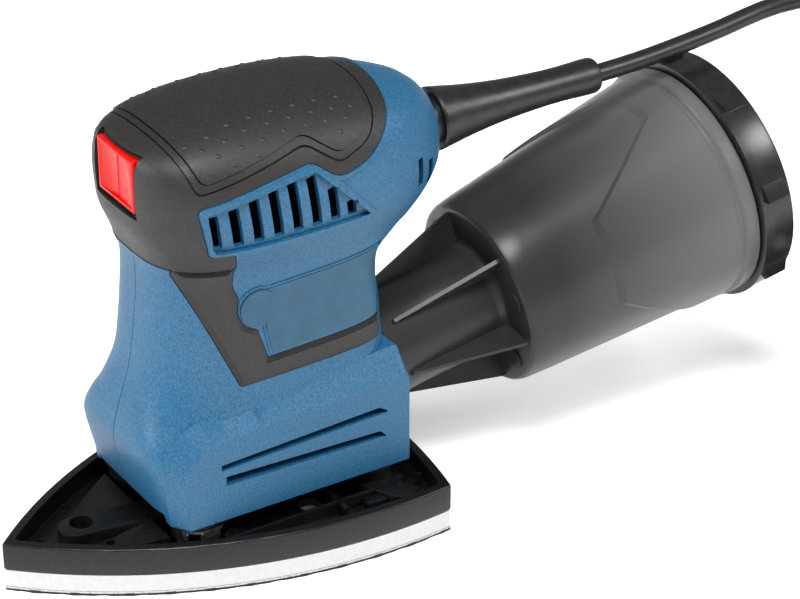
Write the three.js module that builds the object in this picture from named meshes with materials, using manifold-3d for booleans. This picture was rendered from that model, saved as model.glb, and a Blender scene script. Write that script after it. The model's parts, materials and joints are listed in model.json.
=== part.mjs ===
// Detail mouse sander with a delta sanding plate, a microfilter dust box and a mains cord.
// Millimetres, +Z up, front of the machine towards -Y.
// The motor shaft is the Z axis, and the sanding face is Z = 0.
import * as THREE from 'three';
import { mergeVertices } from 'three/addons/utils/BufferGeometryUtils.js';
import Module from 'manifold-3d';

const wasm = await Module();
wasm.setup();

// ---- driving dimensions

const fitGap = 0.3; // play between neighbouring pieces
const seatGap = 0.2; // between stacked faces

const plateHalfWidth = 50;
const plateTipAngle = 44; // between the centre line and each side at the tip, degrees
const plateTipY = -95;
const plateRearCornerY = 49.3;
const plateRearBow = 5.4;
const sheetThickness = 1.5;
const padThickness = 6.2;
const plateFloor = 3;
const plateRimHeight = 10;
const plateRimWall = 3.2;
const dustHoleRadius = 4;
const dustHoles = [[-24, 8], [24, 8], [-27, -22], [27, -22], [0, -34], [0, -66], [-36, 42], [36, 42]];

const orbitRadius = 0.8; // eccentricity: the plate's orbit is twice this across
const bearingOuter = 13;
const bearingWidth = 8;
const shaftRadius = 4;
const shaftTop = 143;
const orbitBearingBottom = 18.6;

const footX = 22.6;
const footYs = [-36, 33];
const footRadius = 4.4;
const footTop = 48;
const cupWall = 1.7;
const cupTop = 20.6;

const shellBottom = 22;
const shellWall = 3;
const gripThickness = 1.4;
const splitGap = 0.3; // between the two housing halves

const chamberRadius = 25;
const chamberWall = 2;
const chamberBottom = 27.5;
const chamberTop = 45;

const boxTilt = 10.4; // dust box axis above the horizontal, degrees
const shoulder = { y: 91.4, z: 56.8 }; // centre of the dust box shoulder
const stubRadius = 17.1;
const stubWall = 1.9;
const neckWall = 1.7;
const neckLength = 46;
const containerWall = 2;
const shoulderRadius = 33.2;
const lipRadius = 43.6;
const lipAt = 87;
const lipWidth = 5.5;
const collarRadius = lipRadius - 1.6;
const collarEnd = lipAt + 13;
const boxRise = 4; // how far the wide end is raised off the neck's axis
const capRadius = lipRadius + 2;
const capStart = lipAt + lipWidth + 0.7;
const capEnd = collarEnd + 7.5;
const capWall = 3;
const filterRadius = 25;
const filterStart = 30;
const pleats = 14;

const bootAxisZ = 129.5;
const bootInnerY = 60;
const bootFlange = 10.3;
const bootOuterY = 139;
const cordRadius = 3.3;

const coilCentre = [66, 266];
const coilInner = 28;
const coilOuter = 49;
const coilHeight = 24.4;
const plugRear = [60, 291, 37.4];

const statorHalf = 22.5;
const armatureRadius = 13.5;

// Housing sections: height, half width, front and rear ends, and how square the front and rear corners are.
const sections = [
  [22, 31.4, -47, 43, 7, 7],
  [45, 31.6, -52.5, 42.5, 5, 7],
  [52, 31.2, -51.5, 42.3, 4, 7],
  [56, 29.6, -50.5, 41.8, 3.6, 6],
  [70, 28, -45.5, 41.2, 3.2, 5],
  [95, 28, -41.8, 38.5, 3, 5],
  [101, 28.4, -41.4, 42, 3, 4],
  [105, 29, -41.4, 51, 3, 3],
  [109, 30, -41.6, 58, 3, 2.6],
  [116.5, 33, -43.6, 66, 3.2, 2.3],
  [124, 34.8, -46.4, 70, 3.2, 2.2],
  [132, 35, -47.3, 70.5, 3.2, 2.1],
  [138, 34.6, -47.3, 69, 3.2, 2.1],
  [144, 33, -46.5, 66, 3, 2.1],
  [149.5, 29.5, -42.5, 60, 2.7, 2.1],
  [153.5, 25, -35, 51, 2.5, 2.1],
  [156.5, 19, -24, 41, 2.3, 2.1],
  [158.5, 11, -10, 30, 2.2, 2.1],
];
const crownStart = 138; // above this height the wall thickness is taken off the height too

// ---- helpers

const radians = THREE.MathUtils.degToRad;
const group = new THREE.Group();

function toSolid(geometry) {
  const bare = geometry.clone();
  for (const name of Object.keys(bare.attributes)) {
    if (name !== 'position') bare.deleteAttribute(name);
  }
  const merged = mergeVertices(bare, 1e-4);
  const triangles = [];
  const index = merged.index.array;
  for (let i = 0; i < index.length; i += 3) {
    const [a, b, c] = [index[i], index[i + 1], index[i + 2]];
    if (a !== b && b !== c && c !== a) triangles.push(a, b, c);
  }
  if (signedVolume(merged.attributes.position, triangles) < 0) triangles.reverse();
  return new wasm.Manifold(new wasm.Mesh({
    numProp: 3,
    vertProperties: Float32Array.from(merged.attributes.position.array),
    triVerts: Uint32Array.from(triangles),
  }));
}

function signedVolume(position, triangles) {
  const [a, b, c] = [new THREE.Vector3(), new THREE.Vector3(), new THREE.Vector3()];
  let six = 0;
  for (let i = 0; i < triangles.length; i += 3) {
    a.fromBufferAttribute(position, triangles[i]);
    b.fromBufferAttribute(position, triangles[i + 1]);
    c.fromBufferAttribute(position, triangles[i + 2]);
    six += a.dot(b.cross(c));
  }
  return six;
}

function toGeometry(solid) {
  const { vertProperties, triVerts } = solid.getMesh();
  const geometry = new THREE.BufferGeometry();
  geometry.setAttribute('position', new THREE.BufferAttribute(vertProperties, 3));
  geometry.setIndex(new THREE.BufferAttribute(triVerts, 1));
  geometry.computeVertexNormals();
  return geometry;
}

function add(name, solid, material, parent = group) {
  const mesh = new THREE.Mesh(toGeometry(solid), material);
  mesh.name = name;
  parent.add(mesh);
  return mesh;
}

function block(size, centre) {
  const geometry = new THREE.BoxGeometry(...size);
  geometry.translate(...centre);
  return toSolid(geometry);
}

// A round bar along x, y or z, centred at the point given.
function bar(radius, length, centre, axis = 'z', segments = 12) {
  const geometry = new THREE.CylinderGeometry(radius, radius, length, segments);
  if (axis === 'x') geometry.rotateZ(Math.PI / 2);
  if (axis === 'z') geometry.rotateX(Math.PI / 2);
  geometry.translate(...centre);
  return toSolid(geometry);
}

// A turned piece about Z from [radius, height] points; a ring's profile closes on itself.
function turned(points, segments = 24, centre = [0, 0, 0]) {
  const profile = points.map(([r, z]) => new THREE.Vector2(r, z));
  if (points[0][0] > 0) profile.push(profile[0].clone());
  const geometry = new THREE.LatheGeometry(profile, segments);
  geometry.rotateX(Math.PI / 2);
  geometry.translate(...centre);
  return toSolid(geometry);
}

// An annulus about Z.
function ring(inner, outer, bottom, top, segments = 24, centre = [0, 0, 0]) {
  return turned([[inner, bottom], [outer, bottom], [outer, top], [inner, top]], segments, centre);
}

// A flat outline in X and Y, raised from bottom to top.
function plan(shape, bottom, top, curveSegments = 9) {
  const depth = top - bottom;
  const geometry = new THREE.ExtrudeGeometry(shape, { depth, bevelEnabled: false, curveSegments });
  geometry.translate(0, 0, bottom);
  return toSolid(geometry);
}

// A side outline in Y and Z, carried across from one X to another.
function profile(shape, from, to, curveSegments = 6) {
  const depth = to - from;
  const geometry = new THREE.ExtrudeGeometry(shape, { depth, bevelEnabled: false, curveSegments });
  geometry.rotateY(Math.PI / 2);
  geometry.rotateX(Math.PI / 2);
  geometry.translate(from, 0, 0);
  return toSolid(geometry);
}

function outline(points) {
  return new THREE.Shape(points.map(([x, y]) => new THREE.Vector2(x, y)));
}

function union(solids) {
  return solids.reduce((all, next) => all.add(next));
}

// Superellipse section of the housing, drawn in by a thickness.
function sectionPoint([, half, front, rear, frontPower, rearPower], inset, angle) {
  const [width, frontEnd, rearEnd] = [Math.max(half - inset, 1), front + inset, rear - inset];
  const middle = (front + rear) / 2 + (rearPower < 3 ? -4 : 0);
  const [cos, sin] = [Math.cos(angle), Math.sin(angle)];
  const power = sin < 0 ? frontPower : rearPower;
  const reach = sin < 0 ? middle - frontEnd : Math.max(rearEnd - middle, 1);
  const grow = Math.pow(Math.abs(cos) ** power + Math.abs(sin) ** power, -1 / power);
  return [width * cos * grow, middle + reach * sin * grow];
}

// The housing's outer form, drawn in by a thickness, as a cylinder whose rings take the section shapes.
function bodyForm(inset, extraBottom = 0) {
  const hidden = inset > gripThickness + 1; // the inner faces take every other section
  const used = sections.filter((_, i) => !hidden || i % 2 === 0);
  const levels = used.map((section) => {
    const crown = THREE.MathUtils.smoothstep(section[0], crownStart, crownStart + 18);
    return { section, height: section[0] - inset * crown };
  });
  levels[0].height -= extraBottom;
  const last = levels.length - 1;
  const geometry = new THREE.CylinderGeometry(1, 1, last, hidden ? 16 : 20, last);
  const position = geometry.attributes.position;
  for (let i = 0; i < position.count; i++) {
    const { section, height } = levels[Math.round(position.getY(i) + last / 2)];
    const [px, pz] = [position.getX(i), position.getZ(i)];
    const onRing = Math.hypot(px, pz) > 0.5;
    const [x, y] = sectionPoint(section, inset, Math.atan2(-pz, px));
    const middle = (section[2] + section[3]) / 2;
    position.setXYZ(i, onRing ? x : 0, onRing ? y : middle, height);
  }
  return toSolid(geometry);
}

// Places a piece that was made along the dust box's own axis: Z along the axis, -Y towards its upper side.
function onBoxAxis(solid) {
  const matrix = new THREE.Matrix4().makeRotationX(radians(boxTilt - 90));
  matrix.setPosition(0, shoulder.y, shoulder.z);
  return solid.transform(matrix.elements);
}

// ---- materials

function finish(colour, roughness, metalness = 0, opacity = 1) {
  const transparent = opacity < 1;
  return new THREE.MeshStandardMaterial({ color: colour, roughness, metalness, opacity, transparent });
}

const bluePlastic = finish(0x2f6f99, 0.5);
const softGrip = finish(0x2b2a2a, 0.8);
const redPlastic = finish(0xe3170f, 0.35);
const blackPlastic = finish(0x141414, 0.5);
const greyPlastic = finish(0x6f7275, 0.6);
const smokePlastic = finish(0x4a4b4d, 0.25, 0, 0.6);
const rubber = finish(0x101010, 0.7);
const foam = finish(0xd9dadb, 0.9);
const abrasive = finish(0x2a2521, 0.95);
const steel = finish(0xb5b8bb, 0.3, 1);
const copper = finish(0xb06a3a, 0.35, 1);
const carbon = finish(0x2c2c2e, 0.8);
const paper = finish(0xe6e1d2, 0.9);

// ---- sanding plate

function plateOutline(inset = 0) {
  const angle = radians(plateTipAngle);
  const radius = plateHalfWidth / (1 - Math.cos(angle));
  const centreX = -radius * Math.cos(angle);
  const centreY = plateTipY + radius * Math.sin(angle);
  const edge = radius - inset;
  const start = -Math.acos(-centreX / edge);
  const corner = Math.asin((plateRearCornerY - inset - centreY) / edge);
  const cornerX = centreX + edge * Math.cos(corner);
  const cornerY = centreY + edge * Math.sin(corner);
  const shape = new THREE.Shape();
  shape.moveTo(0, centreY + edge * Math.sin(start));
  shape.absarc(centreX, centreY, edge, start, corner, false);
  shape.quadraticCurveTo(0, cornerY + 2 * plateRearBow, -cornerX, cornerY);
  shape.absarc(-centreX, centreY, edge, Math.PI - corner, Math.PI - start, false);
  return shape;
}

const sheetTop = sheetThickness;
const padBottom = sheetTop + seatGap;
const padTop = padBottom + padThickness;
const frameBottom = padTop + seatGap;
const frameFloorTop = frameBottom + plateFloor;
const rimTop = frameBottom + plateRimHeight;
const hubBore = bearingOuter + fitGap;
const hubRadius = hubBore + 3.2;
const cupRadius = footRadius + 2 * orbitRadius + fitGap;

function withDustHoles(solid, bottom, top) {
  const middle = (top + bottom) / 2;
  const holes = dustHoles.map(([x, y]) => bar(dustHoleRadius, top - bottom + 2, [x, y, middle], 'z', 8));
  return solid.subtract(union(holes));
}

function plateFrame() {
  const floor = withDustHoles(plan(plateOutline(), frameBottom, frameFloorTop), frameBottom, frameFloorTop);
  const hollow = plan(plateOutline(plateRimWall), frameBottom - 1, rimTop + 1);
  const rim = plan(plateOutline(), frameBottom, rimTop).subtract(hollow);
  const inside = plan(plateOutline(plateRimWall / 2), frameBottom, cupTop);
  const hubTop = orbitBearingBottom + bearingWidth;
  const hubMiddle = (hubTop + frameBottom) / 2;
  const hub = bar(hubRadius, hubTop - frameBottom, [0, orbitRadius, hubMiddle], 'z', 24);
  const cupMiddle = (cupTop + frameBottom) / 2;
  const cupHeight = cupTop - frameBottom;
  const cups = cupPlaces().map(([x, y]) => bar(cupRadius + cupWall, cupHeight, [x, y, cupMiddle]));
  const ribHeight = rimTop - 1.5 - frameBottom;
  const ribMiddle = frameBottom + ribHeight / 2;
  const ribs = [
    block([2.2, 60, ribHeight], [0, -50, ribMiddle]),
    block([2.2, 34, ribHeight], [0, 34, ribMiddle]),
    block([78, 2.2, ribHeight], [0, 14, ribMiddle]),
  ].map((rib) => rib.intersect(inside));
  const boreHeight = bearingWidth + fitGap + 1;
  const boreMiddle = orbitBearingBottom - fitGap + boreHeight / 2;
  const bore = bar(hubBore, boreHeight, [0, orbitRadius, boreMiddle], 'z', 24);
  const wells = cupPlaces().map(([x, y]) => bar(cupRadius, cupTop, [x, y, cupTop / 2 + frameFloorTop + 1]));
  const screwSeats = cupPlaces().map(([x, y]) => {
    const head = bar(4, 2.2, [x, y, frameBottom + 0.9]);
    return bar(2.2, 12, [x, y, frameFloorTop]).add(head);
  });
  return union([floor, rim, hub, ...cups, ...ribs]).subtract(union([bore, ...wells, ...screwSeats]));
}

function cupPlaces() {
  return footYs.flatMap((y) => [[-footX, y + orbitRadius], [footX, y + orbitRadius]]);
}

function makePlate() {
  add('sanding_sheet', withDustHoles(plan(plateOutline(), 0, sheetTop), 0, sheetTop), abrasive);
  add('foam_pad', withDustHoles(plan(plateOutline(), padBottom, padTop), padBottom, padTop), foam);
  add('plate_frame', plateFrame(), blackPlastic);
  cupPlaces().forEach(([x, y], i) => {
    const head = bar(3.6, 1.5, [x, y, frameBottom + 1.05]);
    const shank = bar(1.9, 4, [x, y, frameBottom + 1.05 + 2]);
    add(`plate_screw_${i + 1}`, head.add(shank), steel);
  });
}

// ---- drive

function fanWheel(hub, disc, bottom, top, blades) {
  const bore = shaftRadius + fitGap / 2;
  const height = top - bottom;
  const pieces = [ring(bore, hub, bottom, top, 16), ring(bore, disc, bottom, bottom + 1.5, 24)];
  for (let i = 0; i < blades; i++) {
    const geometry = new THREE.BoxGeometry(disc - hub, 1.2, height - 0.5);
    geometry.translate((disc + hub) / 2 - 0.6, 0, (top + bottom) / 2);
    geometry.rotateZ((i * 2 * Math.PI) / blades);
    pieces.push(toSolid(geometry));
  }
  return union(pieces);
}

function ballBearing(name, inner, outer, bottom, centreY = 0) {
  add(name, ring(inner, outer, bottom, bottom + bearingWidth, 24, [0, centreY, 0]), steel);
}

function makeRotor() {
  const pinRadius = 5;
  const collarBottom = orbitBearingBottom + bearingWidth + seatGap;
  const shaft = bar(shaftRadius, shaftTop - 31, [0, 0, (shaftTop + 31) / 2]);
  add('motor_shaft', shaft, steel);

  const pinLength = bearingWidth + 1;
  const pin = bar(pinRadius, pinLength, [0, orbitRadius, orbitBearingBottom + pinLength / 2]);
  const hub = bar(9.5, 7, [0, 0, collarBottom + 3.5]);
  const frontHalf = block([44, 20, 20], [0, -13, collarBottom + 4]);
  const lobe = bar(20, 4.5, [0, 0, collarBottom + 4.4], 'z', 24).intersect(frontHalf);
  const socket = bar(shaftRadius + fitGap / 2, 10, [0, 0, 36 - fitGap]);
  add('eccentric_counterweight', union([pin, hub, lobe]).subtract(socket), steel);
  ballBearing('orbit_bearing', pinRadius + fitGap / 2, bearingOuter, orbitBearingBottom, orbitRadius);

  add('dust_fan', fanWheel(7, 21, 34.3, 42.5, 7), greyPlastic);
  ballBearing('lower_bearing', shaftRadius + fitGap / 2, bearingOuter, 48);
  add('cooling_fan', fanWheel(6.5, 21.5, 61, 70, 9), blackPlastic);
  add('armature_core', armatureCore(), steel);
  const bore = shaftRadius + fitGap / 2;
  add('armature_winding_lower', turned([[bore, 74], [10, 74], [12, 76], [12, 80.5], [bore, 80.5]]), copper);
  const upperWinding = [[bore, 109.5], [12, 109.5], [12, 114], [10, 116], [bore, 116]];
  add('armature_winding_upper', turned(upperWinding), copper);
  add('commutator', turned([[bore, 117], [11, 117], [11, 119], [10, 119], [10, 130], [bore, 130]]), copper);
  ballBearing('upper_bearing', shaftRadius + fitGap / 2, 10.5, 133.5);
}

function armatureCore() {
  let core = ring(shaftRadius + fitGap / 2, armatureRadius, 81, 109, 24);
  for (let i = 0; i < 8; i++) {
    const geometry = new THREE.BoxGeometry(3, 1.4, 30);
    geometry.translate(armatureRadius, 0, 95);
    geometry.rotateZ((i * Math.PI) / 4);
    core = core.subtract(toSolid(geometry));
  }
  return core;
}

function makeMotor() {
  const stator = block([2 * statorHalf, 2 * statorHalf, 28], [0, 0, 95]);
  const corners = bar(28.5, 30, [0, 0, 95], 'z', 24);
  const bore = bar(armatureRadius + 0.8, 30, [0, 0, 95], 'z', 24);
  const slots = [-1, 1].map((side) => block([20, 6, 30], [side * 9, 0, 95]));
  add('field_core', stator.intersect(corners).subtract(union([bore, ...slots])), steel);
  for (const [name, bottom] of [['field_winding_lower', 76], ['field_winding_upper', 109.3]]) {
    add(name, ring(14.6, 20.5, bottom, bottom + 4.7, 32), copper);
  }

  const cupOuter = bearingOuter + 3.5;
  const cup = ring(bearingOuter + fitGap, cupOuter, 46.5, 57, 32);
  const floor = ring(shaftRadius + 1.5, cupOuter, 56.3, 58.5, 32);
  const arms = block([51, 12, 4], [0, 0, 56.5]).subtract(bar(cupOuter - 1.5, 20, [0, 0, 55]));
  add('bearing_bracket', union([cup, floor, arms]), steel);

  const seat = ring(10.5 + fitGap, 14, 133, 142, 28);
  const web = block([58, 10, 3], [0, 0, 138]).subtract(bar(12, 20, [0, 0, 138]));
  add('upper_bearing_seat', union([seat, web]), blackPlastic);

  for (const [side, name] of [[1, 'left'], [-1, 'right']]) {
    const centre = [side * 19.5, 0, 124.5];
    add(`brush_holder_${name}`, block([15, 11, 10], centre).subtract(block([17, 6.6, 6.6], centre)), copper);
    add(`carbon_brush_${name}`, block([12, 6, 6], [side * 16.6, 0, 124.5]), carbon);
  }
}

// ---- dust extraction

function dustDuct() {
  const bore = stubRadius - stubWall;
  const start = -60;
  const end = -18;
  const tube = onBoxAxis(ring(bore, stubRadius, start, end, 24));
  const tubeBore = onBoxAxis(bar(bore, end - start + 12, [0, 0, (start + end) / 2 - 5], 'z', 24));
  const chamber = ring(chamberRadius - chamberWall, chamberRadius, chamberBottom, chamberTop, 24);
  const roof = ring(shaftRadius + 2.5, chamberRadius, chamberTop - 2, chamberTop, 24);
  const cover = block([2 * (stubRadius - 1), 17, 30], [0, 25, 44.5]);
  const hollow = block([2 * bore - 3, 14, 25.5], [0, 24.5, 45]);
  const spinHeight = chamberTop - 2 - chamberBottom;
  const spin = bar(chamberRadius - chamberWall, spinHeight, [0, 0, chamberBottom + spinHeight / 2], 'z', 24);
  const under = block([70, 70, 10], [0, 0, chamberBottom - 5]);
  const shaftWell = bar(bearingOuter + 4.5, 30, [0, 0, 60.05]);
  return union([tube, chamber, roof, cover]).subtract(union([tubeBore, hollow, spin, under, shaftWell]));
}

function makeDustDuct() {
  const duct = dustDuct();
  const groove = onBoxAxis(ring(stubRadius - 0.9, stubRadius + 1, -26, -23, 24));
  add('dust_duct', duct.subtract(groove), blackPlastic);
  add('duct_seal', onBoxAxis(ring(stubRadius - 0.9 + 0.15, stubRadius + 0.15, -25.8, -23.2, 24)), rubber);
}

// The wide end sits a little higher than the neck: every ring of a turned piece is moved up by this much.
function rise(along) {
  return boxRise * THREE.MathUtils.clamp(along / lipAt, 0, 1);
}

function risen(solid) {
  return solid.warp((point) => {
    point[1] -= rise(point[2]);
  });
}

function containerSolid() {
  const neck = stubRadius + fitGap + neckWall;
  const steps = [0.25, 0.5, 0.75].map((t) => lipAt * t);
  const coneRadius = (s) => THREE.MathUtils.lerp(shoulderRadius + 1, collarRadius, s / lipAt);
  const outer = [
    [0, -neckLength], [neck, -neckLength], [neck, -0.5], [shoulderRadius - 2, 0], [shoulderRadius, 1.4],
    ...[4, ...steps].map((s) => [coneRadius(s), s]), [collarRadius, lipAt], [lipRadius, lipAt + 1],
    [lipRadius, lipAt + lipWidth], [collarRadius, lipAt + lipWidth],
    [collarRadius, collarEnd], [0, collarEnd],
  ];
  const inner = [
    [0, -neckLength - 1], [neck - neckWall, -neckLength - 1], [neck - neckWall, containerWall - 0.5],
    [shoulderRadius - 4, containerWall],
    ...[5, ...steps].map((s) => [coneRadius(s) - containerWall, s]),
    [collarRadius - containerWall, lipAt], [collarRadius - containerWall, collarEnd + 1], [0, collarEnd + 1],
  ];
  const body = risen(turned(outer, 24)).subtract(risen(turned(inner, 24)));
  const fins = finAngles.map((angle) => {
    const [foot, toe] = [neck - 0.8, neck + 1.2];
    const inner = [foot, -neckLength + 6];
    const corners = [inner, [toe, -neckLength + 9], [shoulderRadius - 3, 0.4], [foot, 0.4]];
    const geometry = new THREE.ExtrudeGeometry(outline(corners), { depth: 1.4, bevelEnabled: false });
    geometry.translate(0, 0, -0.7);
    geometry.rotateX(Math.PI / 2);
    geometry.rotateZ(radians(angle));
    return toSolid(geometry);
  });
  return union([body, ...fins]);
}

const finAngles = [0, 1, 2, 3, 4, 5].map((i) => 10 + 60 * i);

function capSolid() {
  const skirt = ring(collarRadius + 0.5, capRadius, capStart, capEnd, 26);
  const [endStart, endTop] = [capEnd - capWall, capEnd + 0.5];
  const end = turned([[0, endStart], [capRadius - 1, endStart], [capRadius - 1, endTop], [0, endTop]], 26);
  const slots = Array.from({ length: 6 }, (_, i) => {
    const geometry = new THREE.BoxGeometry(16, 4, 12);
    geometry.translate(26, 0, capEnd);
    geometry.rotateZ((i * Math.PI) / 3);
    return toSolid(geometry);
  });
  const spigot = ring(15, 17.5, collarEnd + 0.8, capEnd - capWall + 0.5, 32);
  const ribs = Array.from({ length: 8 }, (_, i) => {
    const geometry = new THREE.BoxGeometry(2, 2, capEnd - capStart - 4);
    geometry.translate(capRadius, 0, (capEnd + capStart) / 2 + 1);
    geometry.rotateZ((i * Math.PI) / 4 + 0.2);
    return toSolid(geometry);
  });
  const lift = (solid) => solid.translate(0, -boxRise, 0);
  return lift(union([skirt, end, spigot, ...ribs]).subtract(union(slots)));
}

function makeDustBox() {
  const lift = (solid) => solid.translate(0, -boxRise, 0);
  add('dust_container', onBoxAxis(containerSolid()), smokePlastic);
  const frameOuter = collarRadius - containerWall - 0.4;
  const frameStart = collarEnd - 3.5;
  const [endStart, endRadius] = [filterStart - 2, filterRadius - 1];
  const frame = union([
    ring(filterRadius - 4, frameOuter, frameStart, collarEnd + 0.4, 24),
    ring(filterRadius - 6, filterRadius - 3.8, filterStart, collarEnd + 0.4, 18),
    turned([[0, endStart], [endRadius, endStart], [endRadius, filterStart], [0, filterStart]]),
  ]);
  const windows = [0, 1, 2].map((i) => {
    const geometry = new THREE.BoxGeometry(60, 14, frameStart - filterStart - 14);
    geometry.translate(0, 0, (frameStart + filterStart) / 2);
    geometry.rotateZ((i * Math.PI) / 3);
    return toSolid(geometry);
  });
  add('filter_frame', onBoxAxis(lift(frame.subtract(union(windows)))), greyPlastic);
  add('pleated_filter', onBoxAxis(lift(pleatedFilter(frameStart))), paper);
  add('box_cap', onBoxAxis(capSolid()), blackPlastic);
}

function pleatedFilter(frameStart) {
  const inner = filterRadius - 4 + 0.5;
  const shape = new THREE.Shape();
  for (let i = 0; i < 2 * pleats; i++) {
    const radius = i % 2 ? filterRadius - 2.2 : filterRadius;
    const angle = (i * Math.PI) / pleats;
    shape[i ? 'lineTo' : 'moveTo'](radius * Math.cos(angle), radius * Math.sin(angle));
  }
  const folded = plan(shape, filterStart + seatGap, frameStart - seatGap);
  return folded.subtract(bar(inner, 100, [0, 0, (filterStart + frameStart) / 2], 'z', 24));
}

// ---- housing

const gripSide = [
  [-60, 112], [-21, 112], [-22, 118.3], [-30.5, 118.8], [-34.3, 136.5], [-14, 141.2], [5.5, 144.4],
  [15, 137.2], [27, 139.6], [36, 146], [43, 154], [46, 172], [-60, 172],
];
const padSeam = [
  [-31.6, 144.2], [5.5, 152.6], [16.5, 144.6], [28, 148.2], [33.5, 155], [34.5, 172], [-41, 172],
];
const trimSide = [
  [-39, 112], [-18.6, 67], [37.2, 68.6], [36.2, 76.8], [-8.4, 75], [-12.4, 86.6], [-17.5, 89.5],
  [-19.8, 94.8], [-18.8, 100], [-21, 104], [-21.5, 109.6],
];
const grilleSlots = [
  [-29, 121.6, 134.5], [-22, 121.7, 136.3], [-15, 121.8, 138], [-8, 121.9, 139.7], [-1, 122, 141.2],
  [6, 122.1, 141.6], [13, 122.2, 136.4], [20.5, 122.3, 129.5],
];
const rearVents = [[51, 121, 131], [57, 118, 128], [62.5, 113, 122]];
const skirtSlots = [
  [[-29.6, 41.2], [-29.6, 43.4], [31, 45.6], [34.5, 43.6], [34, 43]],
  [[-28, 35.2], [-28, 38.4], [31.5, 36], [34, 33.6]],
];
// Each screw's Y and Z, and how far its head seat is from the joint between the halves.
const screwPlaces = [[-37, 61, 14], [-35, 90, 12], [31, 85, 18], [31.5, 101, 18], [45, 110, 16]];
const bossRadius = 4.2;

// The outline with every side moved out, so that two pieces that share it keep a gap.
function grown(points, amount) {
  const turn = Math.sign(THREE.ShapeUtils.area(points.map(([x, y]) => ({ x, y }))));
  return points.map(([x, y], i) => {
    const before = points[(i + points.length - 1) % points.length];
    const after = points[(i + 1) % points.length];
    const [inX, inY] = direction(before, [x, y]);
    const [outX, outY] = direction([x, y], after);
    const scale = (amount * turn) / (1 + inX * outX + inY * outY);
    return [x + (inY + outY) * scale, y - (inX + outX) * scale];
  });
}

function direction([ax, ay], [bx, by]) {
  const length = Math.hypot(bx - ax, by - ay);
  return [(bx - ax) / length, (by - ay) / length];
}

function openings() {
  const wide = 90;
  const cuts = [];
  for (const [y, low, high] of grilleSlots) {
    const leaning = outline([[y - 1.7, low], [y + 1.7, low], [y + 0.6, high], [y - 2.8, high]]);
    cuts.push(profile(leaning, -wide / 2, wide / 2));
  }
  for (const [y, low, high] of rearVents) {
    cuts.push(block([wide, 2.6, high - low], [0, y, (low + high) / 2]));
  }
  for (const points of skirtSlots) cuts.push(profile(outline(points), -wide / 2, wide / 2));
  cuts.push(onBoxAxis(bar(stubRadius + fitGap, 40, [0, 0, -50], 'z', 24)));
  cuts.push(bar(9, 30, [0, 72, bootAxisZ], 'y', 20));
  cuts.push(block([switchWidth + 5.4, 14, switchHeight + 5.4], [0, switchFaceY + 5, switchZ]));
  return union(cuts);
}

const switchWidth = 24;
const switchHeight = 18.6;
const switchZ = 140;
const switchFaceY = -47;

function footSockets(side) {
  return footYs.map((y) => {
    const outer = bar(footRadius + 1.7, 8.5, [side * footX, y, footTop - 1.2]);
    return outer.subtract(bar(footRadius + fitGap, 6.3, [side * footX, y, footTop - 6.1 / 2 + 0.3]));
  });
}

function housingHalf(side) {
  const outer = bodyForm(0);
  const shell = outer.subtract(bodyForm(shellWall, 5));
  const bosses = screwPlaces.map(([y, z]) => bar(bossRadius, 80, [0, y, z], 'x', 10).intersect(outer));
  const sockets = footSockets(side).map((socket) => socket.intersect(outer));
  const skin = bodyForm(-2).subtract(bodyForm(gripThickness + seatGap));
  const recess = (points) => profile(outline(grown(points, fitGap)), -60, 60);
  const half = block([100, 300, 300], [side * (50 + splitGap / 2), 0, 100]);
  const bores = screwPlaces.map(([y, z, seat]) => {
    const shank = bar(1.9, 2 * seat - 1, [-1.5, y, z], 'x', 8);
    return side < 0 ? shank.add(bar(3.7, 40, [-20 - seat, y, z], 'x', 10)) : shank;
  });
  const footWells = footYs.map((y) => bar(footRadius + fitGap, footTop, [side * footX, y, footTop / 2]));
  const flangePocket = bar(bootFlange + fitGap, 6.6, [0, bootInnerY, bootAxisZ], 'y', 20);
  const wireSpace = bar(chamberRadius + fitGap, 20, [0, 0, 37], 'z', 24);
  return union([shell, ...bosses, ...sockets])
    .subtract(skin.intersect(recess(gripSide).add(recess(trimSide))))
    .subtract(union([openings(), wireSpace, flangePocket, ...footWells, ...bores]))
    .intersect(half);
}

function makeGrips() {
  const skin = bodyForm(0).subtract(bodyForm(gripThickness));
  const wrap = profile(outline(gripSide), -60, 60, 4);
  const pad = profile(outline(padSeam), -60, 60, 4);
  const padCut = profile(outline(grown(padSeam, fitGap)), -60, 60, 4);
  const grip = skin.intersect(wrap);
  add('front_grip', grip.subtract(union([padCut, openings()])), softGrip);
  add('palm_grip', grip.intersect(pad), softGrip);
  for (const [side, name] of [[1, 'left'], [-1, 'right']]) {
    const half = block([60, 300, 300], [side * 36, 0, 100]);
    add(`${name}_trim`, skin.intersect(profile(outline(trimSide), -60, 60)).intersect(half), softGrip);
  }
}

function makeSwitch() {
  const y = switchFaceY;
  const hollow = block([switchWidth + 1, 20, switchHeight + 0.8], [0, y + 5, switchZ]);
  const frame = block([switchWidth + 4.6, 8, switchHeight + 4.6], [0, y + 4.2, switchZ]).subtract(hollow);
  add('switch_bezel', frame, blackPlastic);
  const half = switchWidth / 2;
  const face = outline([
    [-half, 0.7], [-half + 1.2, 0], [0, 1], [half - 1.2, 0], [half, 0.7],
    [half, 3], [4, 5.6], [-4, 5.6], [-half, 3],
  ].map(([x, depth]) => [x, y + depth]));
  const dot = ring(1.2, 2, 0, 1, 12).rotate([90, 0, 0]).translate(6.4, y + 1.2, switchZ - 4.5);
  const rocker = plan(face, switchZ - switchHeight / 2, switchZ + switchHeight / 2).add(dot);
  add('switch_rocker', rocker, redPlastic);
  const body = block([22, 13, 16], [0, y + 15.2, switchZ - 1]);
  const nose = block([6, 3.2, 8], [0, y + 8, switchZ - 1]);
  add('switch_body', body.add(nose), blackPlastic);
}

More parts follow.
